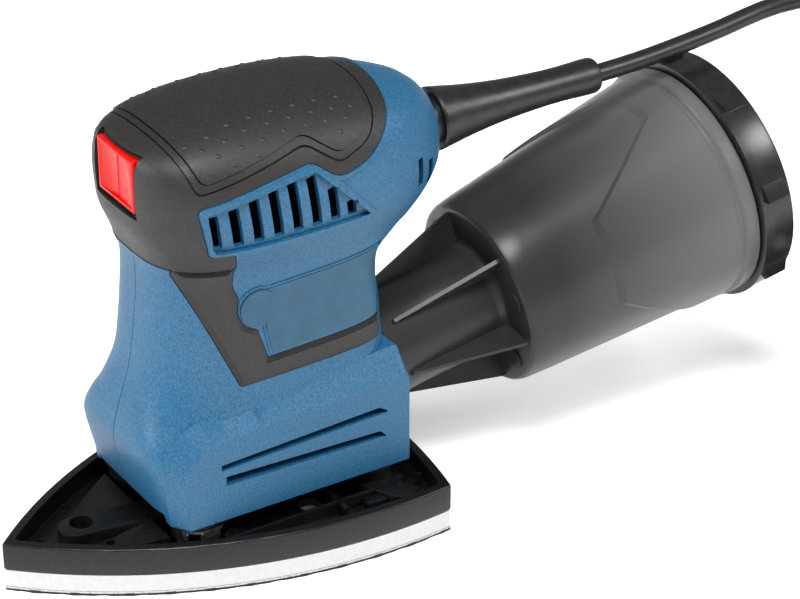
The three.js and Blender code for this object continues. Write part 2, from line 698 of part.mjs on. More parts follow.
function makeHousing() {
  add('left_housing', housingHalf(1), bluePlastic);
  add('right_housing', housingHalf(-1), bluePlastic);
  screwPlaces.forEach(([y, z, seat], i) => {
    const head = bar(3.2, 2.4, [-seat - seatGap - 1.2, y, z], 'x', 10);
    const shank = bar(1.6, 2 * seat - 3.5, [-2.25, y, z], 'x', 8);
    add(`housing_screw_${i + 1}`, head.add(shank), steel);
  });
  for (const [side, name] of [[1, 'left'], [-1, 'right']]) {
    footYs.forEach((y, i) => {
      const [low, high] = [frameFloorTop + 6.5, footTop - fitGap];
      const points = [
        [0, low], [footRadius, low], [footRadius, low + 4], [3.2, low + 7],
        [3.2, high - 8], [footRadius, high - 6], [footRadius, high], [0, high],
      ];
      const foot = turned(points, 12, [side * footX, y, 0]);
      add(`elastic_foot_${name}_${i ? 'rear' : 'front'}`, foot, greyPlastic);
    });
  }
}

// ---- mains lead

// Where the loose cord runs: out of the sleeve, over the dust box cap and clear of its way out, then down
// on to the coil.
const cordRoute = [
  [0, 139.5, 129.5], [0, 150, 129.7], [0, 164, 130.5], [0, 180, 132.1], [0, 196, 134.1], [0, 212, 136.6],
  [3, 227, 138.7], [11, 240, 139.2], [23, 251, 136.6], [36, 261, 130.5], [49, 271, 120.5], [61, 280, 107.5],
  [73, 287, 92], [85, 291, 76], [96, 290.5, 61], [105, 285, 47.5], [110.5, 276, 37], [112, 264.5, 30.5],
  [109.5, 252.5, 28.4], [103.5, 242, 28.1],
];
const tailRoute = [
  [20.5, 293.4, 3.4], [21.6, 301, 5], [25.2, 308.6, 9], [31.8, 313.4, 15.5],
  [40.2, 314.4, 23.4], [48.6, 311, 30.6], [55.2, 304.6, 35.4], [59.2, 297.6, 37.2], [60, 291.8, 37.4],
];

function tube(points, steps) {
  const section = new THREE.Shape();
  section.absarc(0, 0, cordRadius, 0, 2 * Math.PI, false);
  const extrudePath = new THREE.CatmullRomCurve3(points.map((p) => new THREE.Vector3(...p)));
  const options = { extrudePath, steps, curveSegments: 4, bevelEnabled: false };
  return toSolid(new THREE.ExtrudeGeometry(section, options));
}

function makeLead() {
  const inner = cordRadius + fitGap;
  const flange = bootInnerY + 3;
  const points = [
    [inner, bootInnerY], [bootFlange, bootInnerY], [bootFlange, flange], [8.7, flange + 0.3],
    [8.7, 72], [11, 72.3], [9.8, 80], [8, 92], [6.5, 106], [5.7, 119], [5.6, 124], [6, 124.6],
    [6, bootOuterY], [inner, bootOuterY],
  ];
  const sleeve = turned(points, 18).rotate([-90, 0, 0]).translate(0, 0, bootAxisZ);
  add('cord_sleeve', sleeve, rubber);
  const stubStart = 50;
  const stubCentre = [0, (bootOuterY + stubStart) / 2, bootAxisZ];
  add('cord_stub', bar(cordRadius, bootOuterY - stubStart, stubCentre, 'y', 16), rubber);
  add('cord_clamp', block([26, 6, 5], [0, 54, bootAxisZ - cordRadius - 2.8]), greyPlastic);
  add('terminal_block', block([24, 9, 11], [0, 43.5, 127]), greyPlastic);
  add('suppressor_capacitor', block([20, 13, 9], [0, 30, 142]), carbon);

  add('mains_cord', tube(cordRoute, 32), rubber);
  add('cord_coil', ring(coilInner, coilOuter, 0, coilHeight, 40, [...coilCentre, 0]), rubber);
  add('cord_tail', tube(tailRoute, 10), rubber);
  makePlug();
}

function makePlug() {
  const body = new THREE.Shape();
  body.moveTo(0.4, -6);
  body.bezierCurveTo(12, -6, 14, -17, 26, -17);
  body.lineTo(50, -17);
  body.lineTo(50, 17);
  body.lineTo(26, 17);
  body.bezierCurveTo(14, 17, 12, 6, 0.4, 6);
  const shell = plan(body, -12.6, 12.6, 6);
  const pins = [-9.5, 9.5].map((side) => bar(2.4, 19, [59, side, 0], 'x', 16));
  add('mains_plug', union([shell, ...pins]).rotate([0, 0, -90]).translate(...plugRear), rubber);
}

makePlate();
makeRotor();
makeMotor();
makeDustDuct();
makeDustBox();
makeGrips();
makeSwitch();
makeHousing();
makeLead();

export default group;
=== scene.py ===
import json
import math

import bmesh
import bpy
from mathutils import Matrix, Vector

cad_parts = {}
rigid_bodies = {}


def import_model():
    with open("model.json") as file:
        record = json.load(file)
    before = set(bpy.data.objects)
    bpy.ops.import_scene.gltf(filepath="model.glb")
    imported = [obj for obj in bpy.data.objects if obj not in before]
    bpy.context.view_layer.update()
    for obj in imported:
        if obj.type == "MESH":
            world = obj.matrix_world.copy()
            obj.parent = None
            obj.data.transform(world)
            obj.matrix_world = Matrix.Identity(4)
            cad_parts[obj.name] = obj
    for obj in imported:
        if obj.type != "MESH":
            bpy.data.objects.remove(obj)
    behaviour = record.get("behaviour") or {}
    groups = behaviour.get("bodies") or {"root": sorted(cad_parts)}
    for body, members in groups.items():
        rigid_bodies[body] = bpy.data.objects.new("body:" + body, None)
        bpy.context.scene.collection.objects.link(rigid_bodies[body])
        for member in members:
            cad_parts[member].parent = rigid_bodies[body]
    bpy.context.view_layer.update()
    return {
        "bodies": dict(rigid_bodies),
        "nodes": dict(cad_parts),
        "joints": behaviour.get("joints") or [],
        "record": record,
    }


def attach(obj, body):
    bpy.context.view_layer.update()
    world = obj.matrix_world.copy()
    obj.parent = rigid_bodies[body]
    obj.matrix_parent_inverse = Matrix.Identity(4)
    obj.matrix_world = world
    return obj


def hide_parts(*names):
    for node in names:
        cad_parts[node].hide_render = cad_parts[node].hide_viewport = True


# A detail mouse sander. Pieces are worked in millimetres, +Z up, front towards -Y,
# and brought to metres when they are finished.

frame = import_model()
nodes = frame["nodes"]
metres = 0.001


# camera: a long lens from the machine's left front, above the horizon

camera = {
    "azimuth": 57.5,
    "elevation": 28.7,
    "distance": 1.0,
    "lens": 130.5,
    "target": (0.0, 0.0597, 0.0639),
}


def makeCamera():
    turn, rise = math.radians(camera["azimuth"]), math.radians(camera["elevation"])
    level = math.cos(rise)
    back = Vector((math.sin(turn) * level, -math.cos(turn) * level, math.sin(rise)))
    data = bpy.data.cameras.new("camera")
    data.lens = camera["lens"]
    data.sensor_width = 36
    obj = bpy.data.objects.new("camera", data)
    bpy.context.scene.collection.objects.link(obj)
    obj.location = Vector(camera["target"]) + back * camera["distance"]
    obj.rotation_mode = "QUATERNION"
    obj.rotation_quaternion = (-back).to_track_quat("-Z", "Y")
    bpy.context.scene.camera = obj


# materials


def linear(hexColour):
    parts = [int(hexColour[i:i + 2], 16) / 255 for i in (1, 3, 5)]
    return [p / 12.92 if p <= 0.04045 else ((p + 0.055) / 1.055) ** 2.4 for p in parts] + [1.0]


def addNode(tree, kind, links=None, **settings):
    made = tree.nodes.new(kind)
    for name, value in settings.items():
        if hasattr(made, name):
            setattr(made, name, value)
        else:
            made.inputs[name.replace("_", " ")].default_value = value
    for name, source in (links or {}).items():
        tree.links.new(source, made.inputs[name])
    return made


def newMaterial(name):
    material = bpy.data.materials.new(name)
    material.use_nodes = True
    tree = material.node_tree
    tree.nodes.clear()
    shader = addNode(tree, "ShaderNodeBsdfPrincipled")
    output = addNode(tree, "ShaderNodeOutputMaterial")
    tree.links.new(shader.outputs[0], output.inputs["Surface"])
    place = addNode(tree, "ShaderNodeTexCoord").outputs["Object"]
    return material, tree, shader, place


def perMillimetre(size):
    return 1000 / size  # noise scale for a grain of this many millimetres


def grainNoise(tree, place, size, detail):
    return addNode(tree, "ShaderNodeTexNoise", {"Vector": place}, Scale=perMillimetre(size), Detail=detail)


def grainBump(tree, shader, place, size, strength, depth, detail=2.0):
    noise = grainNoise(tree, place, size, detail)
    bump = addNode(tree, "ShaderNodeBump", {"Height": noise.outputs[0]},
                   Strength=strength, Distance=depth * metres)
    tree.links.new(bump.outputs[0], shader.inputs["Normal"])


def colourRamp(tree, shader, share, first, second, low=0.0, high=1.0):
    ramp = addNode(tree, "ShaderNodeValToRGB", {"Fac": share})
    for stop, position, colour in zip(ramp.color_ramp.elements, (low, high), (first, second)):
        stop.position, stop.color = position, linear(colour)
    tree.links.new(ramp.outputs[0], shader.inputs["Base Color"])


def mixedColour(tree, shader, place, dark, light, size, low=0.35, high=0.65, detail=2.0):
    colourRamp(tree, shader, grainNoise(tree, place, size, detail).outputs[0], dark, light, low, high)


def variedRoughness(tree, shader, place, size, low, high):
    noise = grainNoise(tree, place, size, 3.0)
    spread = addNode(tree, "ShaderNodeMapRange", {"Value": noise.outputs[0]}, To_Min=low, To_Max=high)
    tree.links.new(spread.outputs[0], shader.inputs["Roughness"])


def plainMaterial(name, colour, rough, bump, **inputs):
    # colour: dark, light, grain; rough: one value, or grain, least and most; bump: grain, strength, depth
    material, tree, shader, place = newMaterial(name)
    mixedColour(tree, shader, place, *colour)
    if isinstance(rough, tuple):
        variedRoughness(tree, shader, place, *rough)
    else:
        shader.inputs["Roughness"].default_value = rough
    for key, value in inputs.items():
        shader.inputs[key.replace("_", " ")].default_value = value
    grainBump(tree, shader, place, *bump)
    return material


def smokedPolycarbonate():
    # tinted see-through polycarbonate, slightly hazy from the mould, with painted light: paler towards the wide
    # end
    material, tree, shader, place = newMaterial("smoked_polycarbonate_painted_light")
    # painted light: the colour runs paler towards the wide end, standing in for the glow of the pale filter
    # inside and the soft highlights there
    along = addNode(tree, "ShaderNodeSeparateXYZ", {"Vector": place}).outputs["Y"]
    share = addNode(tree, "ShaderNodeMapRange", {"Value": along}, From_Min=0.105, From_Max=0.185)
    colourRamp(tree, shader, share.outputs[0], "#3a3b3c", "#7b7c7e")
    variedRoughness(tree, shader, place, 8.0, 0.26, 0.34)
    shader.inputs["Transmission Weight"].default_value = 0.42
    shader.inputs["IOR"].default_value = 1.3
    grainBump(tree, shader, place, 0.9, 0.10, 0.03)
    return material


def abrasiveSheet():
    # aluminium oxide grit on cloth: dark, sparkling, rough
    material, tree, shader, place = newMaterial("aluminium_oxide_grit")
    grit = addNode(tree, "ShaderNodeTexVoronoi", {"Vector": place}, Scale=perMillimetre(0.9)).outputs["Distance"]
    colourRamp(tree, shader, grit, "#2c2621", "#0b0907")
    shader.inputs["Roughness"].default_value = 0.85
    bump = addNode(tree, "ShaderNodeBump", {"Height": grit}, Strength=0.9, Distance=0.0002, invert=True)
    tree.links.new(bump.outputs[0], shader.inputs["Normal"])
    return material


def enamelledCopper():
    # enamelled copper wire: warm, with the fine ribs of the winding
    material, tree, shader, place = newMaterial("enamelled_copper")
    shader.inputs["Metallic"].default_value = 1.0
    mixedColour(tree, shader, place, "#9a4f26", "#c57a46", 2.0)
    shader.inputs["Roughness"].default_value = 0.35
    wave = addNode(tree, "ShaderNodeTexWave", {"Vector": place}, Scale=perMillimetre(3.2), Distortion=1.5)
    bump = addNode(tree, "ShaderNodeBump", {"Height": wave.outputs["Fac"]}, Strength=0.6, Distance=0.0002)
    tree.links.new(bump.outputs[0], shader.inputs["Normal"])
    return material


finishes = {
    # injection moulded glass-filled nylon: a fine spark-eroded texture that softens highlights
    "blue": plainMaterial("glass_filled_nylon_blue", ("#0e4668", "#1d6085", 0.7),
                          (1.2, 0.42, 0.56), (0.55, 0.30, 0.05)),
    # smooth film let into the housing: a little darker than the shell, without the grain
    "label": plainMaterial("label_film_blue", ("#0b425c", "#0e4a66", 6.0), (9.0, 0.44, 0.5), (2.5, 0.05, 0.03)),
    # thermoplastic elastomer moulded over the shell: dark warm grey, dull, with a fine skin
    "grip": plainMaterial("soft_touch_elastomer", ("#141212", "#201e1d", 0.9),
                          (2.0, 0.46, 0.62), (0.5, 0.35, 0.05)),
    # polished polycarbonate rocker: clean red under a thin clear skin
    "red": plainMaterial("polished_polycarbonate_red", ("#b80602", "#cc0a04", 9.0), 0.3, (4.0, 0.05, 0.05),
                         Specular_IOR_Level=0.12, Coat_Weight=0.12, Coat_Roughness=0.08),
    # moulded black nylon with a coarse eroded texture that glints in small specks
    "black": plainMaterial("grained_black_nylon", ("#050505", "#171717", 0.6, 0.45, 0.7),
                           (0.8, 0.26, 0.5), (0.6, 0.7, 0.12), Specular_IOR_Level=0.35),
    # satin black ABS of the cap and duct
    "satin": plainMaterial("satin_black_abs", ("#161616", "#1d1d1d", 3.0), (5.0, 0.24, 0.32), (0.9, 0.12, 0.05)),
    "smoke": smokedPolycarbonate(),
    # extruded rubber sheath: black, satin, slightly uneven along its length
    "rubber": plainMaterial("extruded_rubber", ("#0e0e0e", "#1b1b1b", 4.0), (3.0, 0.30, 0.46), (1.0, 0.2, 0.06)),
    # pale closed-cell foam of the sanding pad: matt, with fine pores
    "foam": plainMaterial("closed_cell_foam", ("#bebfbf", "#c4c5c5", 1.6), 0.92, (0.7, 0.15, 0.05)),
    "grit": abrasiveSheet(),
    # cloth and hook backing of the sanding sheet: light grey, fibrous
    "cloth": plainMaterial("sheet_backing_cloth", ("#a5a5a4", "#c2c2c1", 0.9), 0.9, (0.5, 0.4, 0.08, 4.0)),
    # turned and stamped steel
    "steel": plainMaterial("turned_steel", ("#8f9296", "#b4b7ba", 3.0), (1.5, 0.24, 0.4), (0.5, 0.15, 0.03),
                           Metallic=1.0),
    "copper": enamelledCopper(),
    # natural grey moulded plastic: matt with a faint mottle
    "grey": plainMaterial("grey_moulding", ("#77797b", "#8c8e90", 2.5), (2.0, 0.45, 0.6), (0.8, 0.2, 0.05)),
    # sintered carbon: dull and slightly sooty
    "carbon": plainMaterial("pressed_carbon", ("#1b1b1d", "#2f2f32", 0.8), 0.7, (0.4, 0.3, 0.04)),
    # painted shade: a near-black, matt sheet that takes in nearly all light, standing in for the shade behind the
    # vents
    "shade": plainMaterial("painted_vent_shade", ("#020202", "#060606", 1.0), 0.95, (0.8, 0.3, 0.1),
                           Specular_IOR_Level=0.0),
    # pleated cellulose filter: off-white with short fibres
    "paper": plainMaterial("filter_paper", ("#dcd7c8", "#f0ece0", 1.8), 0.95, (0.6, 0.4, 0.08, 4.0)),
}


# making and finishing pieces


def workObject(bm, name):
    mesh = bpy.data.meshes.new(name)
    bm.to_mesh(mesh)
    bm.free()
    obj = bpy.data.objects.new(name, mesh)
    bpy.context.scene.collection.objects.link(obj)
    return obj


def discard(*objs):
    for obj in objs:
        bpy.data.objects.remove(obj)


def combine(obj, others, operation="DIFFERENCE"):
    for other in others:
        modifier = obj.modifiers.new(operation.lower(), "BOOLEAN")
        modifier.operation = operation
        modifier.solver = "MANIFOLD"
        modifier.object = other
    bakeModifiers(obj)
    discard(*others)
    return obj


def bakeModifiers(obj):
    bpy.context.view_layer.update()
    graph = bpy.context.evaluated_depsgraph_get()
    mesh = bpy.data.meshes.new_from_object(obj.evaluated_get(graph))
    obj.modifiers.clear()
    obj.data = mesh


def duplicate(obj):
    copy = obj.copy()
    copy.data = obj.data.copy()
    bpy.context.scene.collection.objects.link(copy)
    return copy


def softenEdges(obj, width, segments=2, angle=35):
    bm = bmesh.new()
    bm.from_mesh(obj.data)
    bmesh.ops.remove_doubles(bm, verts=bm.verts, dist=0.02)
    bmesh.ops.dissolve_degenerate(bm, edges=bm.edges, dist=0.02)
    bm.to_mesh(obj.data)
    bm.free()
    modifier = obj.modifiers.new("edges", "BEVEL")
    modifier.width = width
    modifier.segments = segments
    modifier.limit_method = "ANGLE"
    modifier.angle_limit = math.radians(angle)
    modifier.use_clamp_overlap = False
    modifier.miter_outer = "MITER_ARC"
    bakeModifiers(obj)


def finishPiece(obj, name, body, finish, replaced=(), sharp=32):
    obj.name = obj.data.name = name
    obj.data.transform(Matrix.Scale(metres, 4))
    obj.data.materials.clear()
    obj.data.materials.append(finishes[finish])
    obj.data.shade_smooth()
    obj.data.set_sharp_from_angle(angle=math.radians(sharp))
    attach(obj, body)
    if replaced:
        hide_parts(*replaced)
    return obj


def extrudedOutline(corners, travel):
    bm = bmesh.new()
    verts = [bm.verts.new(corner) for corner in corners]
    edges = [bm.edges.new(pair) for pair in zip(verts, verts[1:] + verts[:1])]
    face = bmesh.ops.edgeloop_fill(bm, edges=edges)["faces"]
    grown = bmesh.ops.extrude_face_region(bm, geom=face)["geom"]
    bmesh.ops.translate(bm, verts=[g for g in grown if isinstance(g, bmesh.types.BMVert)], vec=travel)
    bmesh.ops.triangulate(bm, faces=[f for f in bm.faces if len(f.verts) > 4], ngon_method="EAR_CLIP")
    bmesh.ops.recalc_face_normals(bm, faces=bm.faces)
    return workObject(bm, "prism")


def outlinePrism(points, low, high):
    # a side outline in Y and Z, carried across the machine from one X to another
    return extrudedOutline([(low, y, z) for y, z in points], (high - low, 0, 0))


def planPrism(points, low, high):
    # a flat outline in X and Y, raised from one height to another
    return extrudedOutline([(x, y, low) for x, y in points], (0, 0, high - low))


def sidePrism(points, corners, steps=5):
    # a rounded side outline, right across the machine
    return outlinePrism(roundedOutline(points, corners, steps), -60, 60)


def block(size, centre):
    bm = bmesh.new()
    bmesh.ops.create_cube(bm, size=1.0)
    bmesh.ops.scale(bm, verts=bm.verts, vec=size)
    bmesh.ops.translate(bm, verts=bm.verts, vec=centre)
    return workObject(bm, "block")


def bar(radius, length, centre, axis="Z", segments=48):
    bm = bmesh.new()
    bmesh.ops.create_cone(bm, cap_ends=True, segments=segments, radius1=radius, radius2=radius,
                          depth=length)
    if axis == "X":
        bmesh.ops.rotate(bm, verts=bm.verts, matrix=Matrix.Rotation(math.pi / 2, 3, "Y"))
    if axis == "Y":
        bmesh.ops.rotate(bm, verts=bm.verts, matrix=Matrix.Rotation(math.pi / 2, 3, "X"))
    bmesh.ops.translate(bm, verts=bm.verts, vec=centre)
    return workObject(bm, "bar")


def turned(profile, segments=96, closed=False):
    # a turned piece about Z from (radius, height) points
    bm = bmesh.new()
    verts = [bm.verts.new((r, 0, z)) for r, z in profile]
    pairs = list(zip(verts, verts[1:])) + ([(verts[-1], verts[0])] if closed else [])
    edges = [bm.edges.new(pair) for pair in pairs]
    bmesh.ops.spin(bm, geom=verts + edges, axis=(0, 0, 1), cent=(0, 0, 0), angle=2 * math.pi,
                   steps=segments, use_merge=True)
    bmesh.ops.remove_doubles(bm, verts=bm.verts, dist=0.0005)
    bmesh.ops.recalc_face_normals(bm, faces=bm.faces)
    return workObject(bm, "turned")


def ringEdges(ring):
    members = set(ring)
    return list({e for v in ring for e in v.link_edges if e.other_vert(v) in members})


def stackedRings(rings, name, closed=False):
    # a skin through rings of points, capped at both ends or closed on itself
    bm = bmesh.new()
    loops = []
    for i, points in enumerate(rings):
        capped = not closed and i in (0, len(rings) - 1)
        ring = bmesh.ops.create_circle(bm, cap_ends=capped, segments=len(points), radius=1)["verts"]
        for vert, point in zip(ring, points):
            vert.co = point
        loops.append(ringEdges(ring))
    for a, b in zip(loops, loops[1:] + (loops[:1] if closed else [])):
        bmesh.ops.bridge_loops(bm, edges=a + b)
    bmesh.ops.recalc_face_normals(bm, faces=bm.faces)
    return workObject(bm, name)


def placed(obj, matrix):
    obj.data.transform(matrix)
    return obj


def roundedOutline(points, radius, steps=5):
    # the outline with each corner replaced by a short arc; a radius may be given per corner
    result = []
    count = len(points)
    for i, point in enumerate(points):
        here = Vector(point)
        before, after = Vector(points[i - 1]) - here, Vector(points[(i + 1) % count]) - here
        size = radius[i] if isinstance(radius, (list, tuple)) else radius
        reach = min(size, 0.45 * before.length, 0.45 * after.length)
        start, end = here + before.normalized() * reach, here + after.normalized() * reach
        for k in range(steps + 1):
            t = k / steps
            result.append(tuple((1 - t) ** 2 * start + 2 * t * (1 - t) * here + t * t * end))
    return result


def grownOutline(points, amount):
    area = sum(a[0] * b[1] - b[0] * a[1] for a, b in zip(points, points[1:] + points[:1]))
    turn = 1 if area > 0 else -1
    result = []
    for i, point in enumerate(points):
        here = Vector(point)
        into = (here - Vector(points[i - 1])).normalized()
        out = (Vector(points[(i + 1) % len(points)]) - here).normalized()
        scale = amount * turn / max(0.35, 1 + into.dot(out))
        result.append((here.x + (into.y + out.y) * scale, here.y - (into.x + out.x) * scale))
    return result


# the housing's form: superellipse sections up the motor axis

housing = {
    "sections": [  # height, half width, front, rear, front power, rear power
        (22, 30.2, -47, 43, 7.5, 8),
        (34, 30.2, -50.2, 42.8, 7.5, 8),
        (45, 30.0, -52.3, 42.5, 7.5, 8),
        (52, 28.8, -51.4, 42.3, 5.5, 7),
        (58, 27.6, -49.6, 42.0, 4, 6),
        (70, 27.0, -45.6, 41.2, 3.1, 5),
        (83, 27.4, -43.3, 40, 3, 5),
        (95, 28, -41.8, 38.5, 3, 5),
        (101, 28.4, -41.4, 42, 3, 4),
        (105, 29, -41.4, 50, 3, 3),
        (109, 30, -41.6, 58, 3, 2.6),
        (116.5, 33, -43.6, 66, 3.2, 2.3),
        (124, 34.8, -46.4, 70, 3.2, 2.2),
        (132, 35, -47.3, 70.5, 3.2, 2.1),
        (138, 34.6, -47.6, 69, 3.2, 2.1),
        (144, 33, -47.5, 66, 3.1, 2.1),
        (149.5, 29.5, -46.4, 60, 2.9, 2.1),
        (153.2, 25, -39.5, 51, 2.6, 2.1),
        (156.3, 18.5, -26, 41, 2.4, 2.1),
        (158.1, 11, -9, 30, 2.2, 2.1),
        (158.6, 5, 3, 18, 2.1, 2.1),
    ],
    "segments": 144,
    "ringStep": 2.2,
    "wall": 3.0,
    "gripDepth": 1.4,
    "splitGap": 0.3,
    "crownStart": 138,
    "crownBlend": 18,
    "overhang": 4,
}


def sectionAt(height):
    rows = housing["sections"]
    for i in range(len(rows) - 1):
        if height <= rows[i + 1][0]:
            break
    a, b = rows[i], rows[i + 1]
    before, after = rows[max(i - 1, 0)], rows[min(i + 2, len(rows) - 1)]
    span = b[0] - a[0]
    t = (height - a[0]) / span
    values = []
    for k in range(1, 6):
        slopeA = (b[k] - before[k]) / max(b[0] - before[0], 1e-6) * span
        slopeB = (after[k] - a[k]) / max(after[0] - a[0], 1e-6) * span
        values.append((2 * t**3 - 3 * t**2 + 1) * a[k] + (t**3 - 2 * t**2 + t) * slopeA
                      + (3 * t**2 - 2 * t**3) * b[k] + (t**3 - t**2) * slopeB)
    return values


def formCentre(front, rear, rearPower):
    # where front and rear halves meet; further forward where the head overhangs at the rear
    return (front + rear) / 2 - (housing["overhang"] if rearPower < 3 else 0)


def formPoint(height, angle, inset=0.0):
    half, front, rear, frontPower, rearPower = sectionAt(height)
    width, front, rear = max(half - inset, 0.6), front + inset, rear - inset
    middle = formCentre(front, rear, rearPower)
    cos, sin = math.cos(angle), math.sin(angle)
    power = frontPower if sin < 0 else rearPower
    reach = middle - front if sin < 0 else max(rear - middle, 0.6)
    grow = (abs(cos) ** power + abs(sin) ** power) ** (-1 / power)
    lift = min(1, max(0, (height - housing["crownStart"]) / housing["crownBlend"]))
    lowered = height - inset * lift * lift * (3 - 2 * lift)
    return Vector((width * cos * grow, middle + reach * sin * grow, lowered))


def formHeights():
    rows = housing["sections"]
    heights = []
    for a, b in zip(rows, rows[1:]):
        count = max(2, round((b[0] - a[0]) / housing["ringStep"]))
        heights += [a[0] + (b[0] - a[0]) * k / count for k in range(count)]
    return heights + [rows[-1][0]]


def bodyForm(inset=0.0, extraBottom=0.0):
    count = housing["segments"]
    rings = [[formPoint(height, 2 * math.pi * k / count, inset) for k in range(count)]
             for height in formHeights()]
    for point in rings[0]:
        point.z -= extraBottom
    return stackedRings(rings, "form")


def skin(outer, inner):
    # the layer between two depths of the form
    return combine(bodyForm(outer), [bodyForm(inner, 6)])


print("materials and form ready")


# outlines seen from the side, in Y and Z

outlines = {
    "grip": [(-70, 112.4), (-21, 112.4), (-22, 118.3), (-30.5, 118.8), (-34.3, 136.5), (-14, 141.2),
             (5.5, 144.6), (15, 137.2), (27, 139.6), (36, 146), (43, 154), (46, 172), (-70, 172)],
    "gripCorners": [1, 1.2, 1, 1.6, 2.4, 8, 2.6, 4, 8, 8, 8, 1, 1],
    "pad": [(-31.6, 144.2), (5.5, 152.6), (16.5, 144.8), (28, 148.2), (33.5, 155), (34.5, 172), (-41, 172)],
    "padCorners": [2.5, 3, 3, 6, 5, 1, 1],
    "trim": [(-39, 112), (-18.6, 67), (37.2, 68.6), (36.2, 76.8), (-8.4, 75), (-12.4, 86.6), (-17.5, 89.5),
             (-19.8, 94.8), (-18.8, 100), (-21, 104), (-21.5, 112)],
    "trimCorners": [1, 0.8, 0.8, 0.8, 0.6, 1.2, 2.5, 3.5, 2.5, 2, 0.5],
}

grille = {
    "field": [(-31.2, 134.6), (-28.6, 119.9), (27.5, 120.4), (6.3, 141.3), (-12, 138.6)],
    "border": [(-33.6, 136.4), (-30.2, 119.2), (-21.4, 118.6), (-20.4, 117.6), (31, 119.2), (15.4, 135.8),
               (5.9, 143.6)],
    "slots": [(-27.6, 121.4, 133.6), (-20.6, 121.5, 135.2), (-13.6, 121.6, 136.9), (-6.6, 121.7, 138.4),
              (0.4, 121.8, 139.7), (7.4, 121.9, 139.9), (14.2, 122, 134.4), (20.6, 122.1, 128)],
    "slotHalf": 1.75,
    "leanHeight": 16,
    "lean": 2.2,
    "sunk": 0.9,
    "raised": 0.7,
    "rearVents": [(51, 121, 131), (57, 118, 128), (62.5, 113, 122)],
}

skirt = {
    "face": [(-42, 22), (-42.3, 40), (-40, 47.5), (-33.6, 51), (-20, 52.2), (43, 55.4), (43, 22)],
    "shoulder": [(-46, 22), (-48.5, 42), (-45, 53), (-37.5, 58), (-22, 58.4), (42.2, 64.6), (42.2, 22)],
    "corners": [0.5, 9, 6, 6, 10, 2.5, 0.5],
    "faceX": 32.2,
    "shoulderX": 26.2,
    "slots": [[(-29.6, 40.9), (-29.6, 43.2), (31, 45.9), (34.5, 43.8), (34, 43.2)],
              [(-28, 34.9), (-28, 38.4), (31.5, 36.6), (34, 34.0)]],
}

screws = [(-37, 61, 14), (-35, 90, 12), (31, 85, 18), (31.5, 101, 18), (45, 110, 16)]
boxTilt = math.radians(10.4)
shoulder = Vector((0, 91.4, 56.8))
boxMatrix = Matrix.Translation(shoulder) @ Matrix.Rotation(boxTilt - math.pi / 2, 4, "X")
stubRadius = 17.1
bootAxisZ = 129.5
switchZ = 140
switchFaceY = -47


def skirtPod(grow=0.0):
    # the flat side panels and the chamfered ledge above them, straight across the machine
    face = roundedOutline(grownOutline(skirt["face"], grow), skirt["corners"])
    ledge = roundedOutline(grownOutline(skirt["shoulder"], grow), skirt["corners"])
    stations = [(-skirt["faceX"] - grow, face), (-skirt["shoulderX"] - grow, ledge),
                (skirt["shoulderX"] + grow, ledge), (skirt["faceX"] + grow, face)]
    return stackedRings([[(x, y, z) for y, z in points] for x, points in stations], "pod")


def slotPrisms():
    prisms = []
    half, lean = grille["slotHalf"], grille["lean"]
    for y, low, high in grille["slots"]:
        tilt = lean * (high - low) / grille["leanHeight"]
        points = [(y - half, low), (y + half, low), (y + half - tilt, high), (y - half - tilt, high - 0.8)]
        prisms.append(outlinePrism(roundedOutline(points, 0.35, 2), -45, 45))
    for y, low, high in grille["rearVents"]:
        prisms.append(block((90, 2.6, high - low), (0, y, (low + high) / 2)))
    for points in skirt["slots"]:
        prisms.append(outlinePrism(roundedOutline(points, 0.5, 2), -45, 45))
    return prisms


def sharedOpenings():
    return [
        placed(bar(stubRadius + 0.3, 44, (0, 0, -50), segments=64), boxMatrix),
        bar(9.0, 30, (0, 72, bootAxisZ), "Y"),
        block((26.8, 14, 21.6), (0, switchFaceY + 5, switchZ)),
    ]


def labelPrism(shrink=0.0):
    corners = [(-10.2, 102), (-10, 86), (-7.6, 75.8), (35.2, 77.6), (35, 104.3)]
    return sidePrism(grownOutline(corners, -shrink), 0.6)


def makeLabels():
    # a plain film on each side with a raised plain disc at its front edge
    film = combine(skin(-0.6, 0.1), [labelPrism(0.9)], "INTERSECT")
    disc = combine(skin(-1.0, 0.1), [bar(6.6, 120, (0, -12, 95), "X", 72)], "INTERSECT")
    combine(film, [disc], "UNION")
    finishPiece(film, "label_films", "machine", "label")


def makePaintedVentShade():
    # painted shade: near-black sheets behind the grille and the skirt's slots, standing in for the shade inside
    # the housing
    field = outlinePrism(grownOutline(grille["field"], 1.2), -60, 60)
    painted_shade = combine(skin(3.3, 3.9), [field], "INTERSECT")
    finishPiece(painted_shade, "grille_painted_shade", "machine", "shade")
    for side, name in ((1, "left"), (-1, "right")):
        # painted shade behind this side's skirt slots
        panel = block((0.6, 68, 15), (side * 27.4, 2, 40))
        finishPiece(panel, f"skirt_painted_shade_{name}", "machine", "shade")


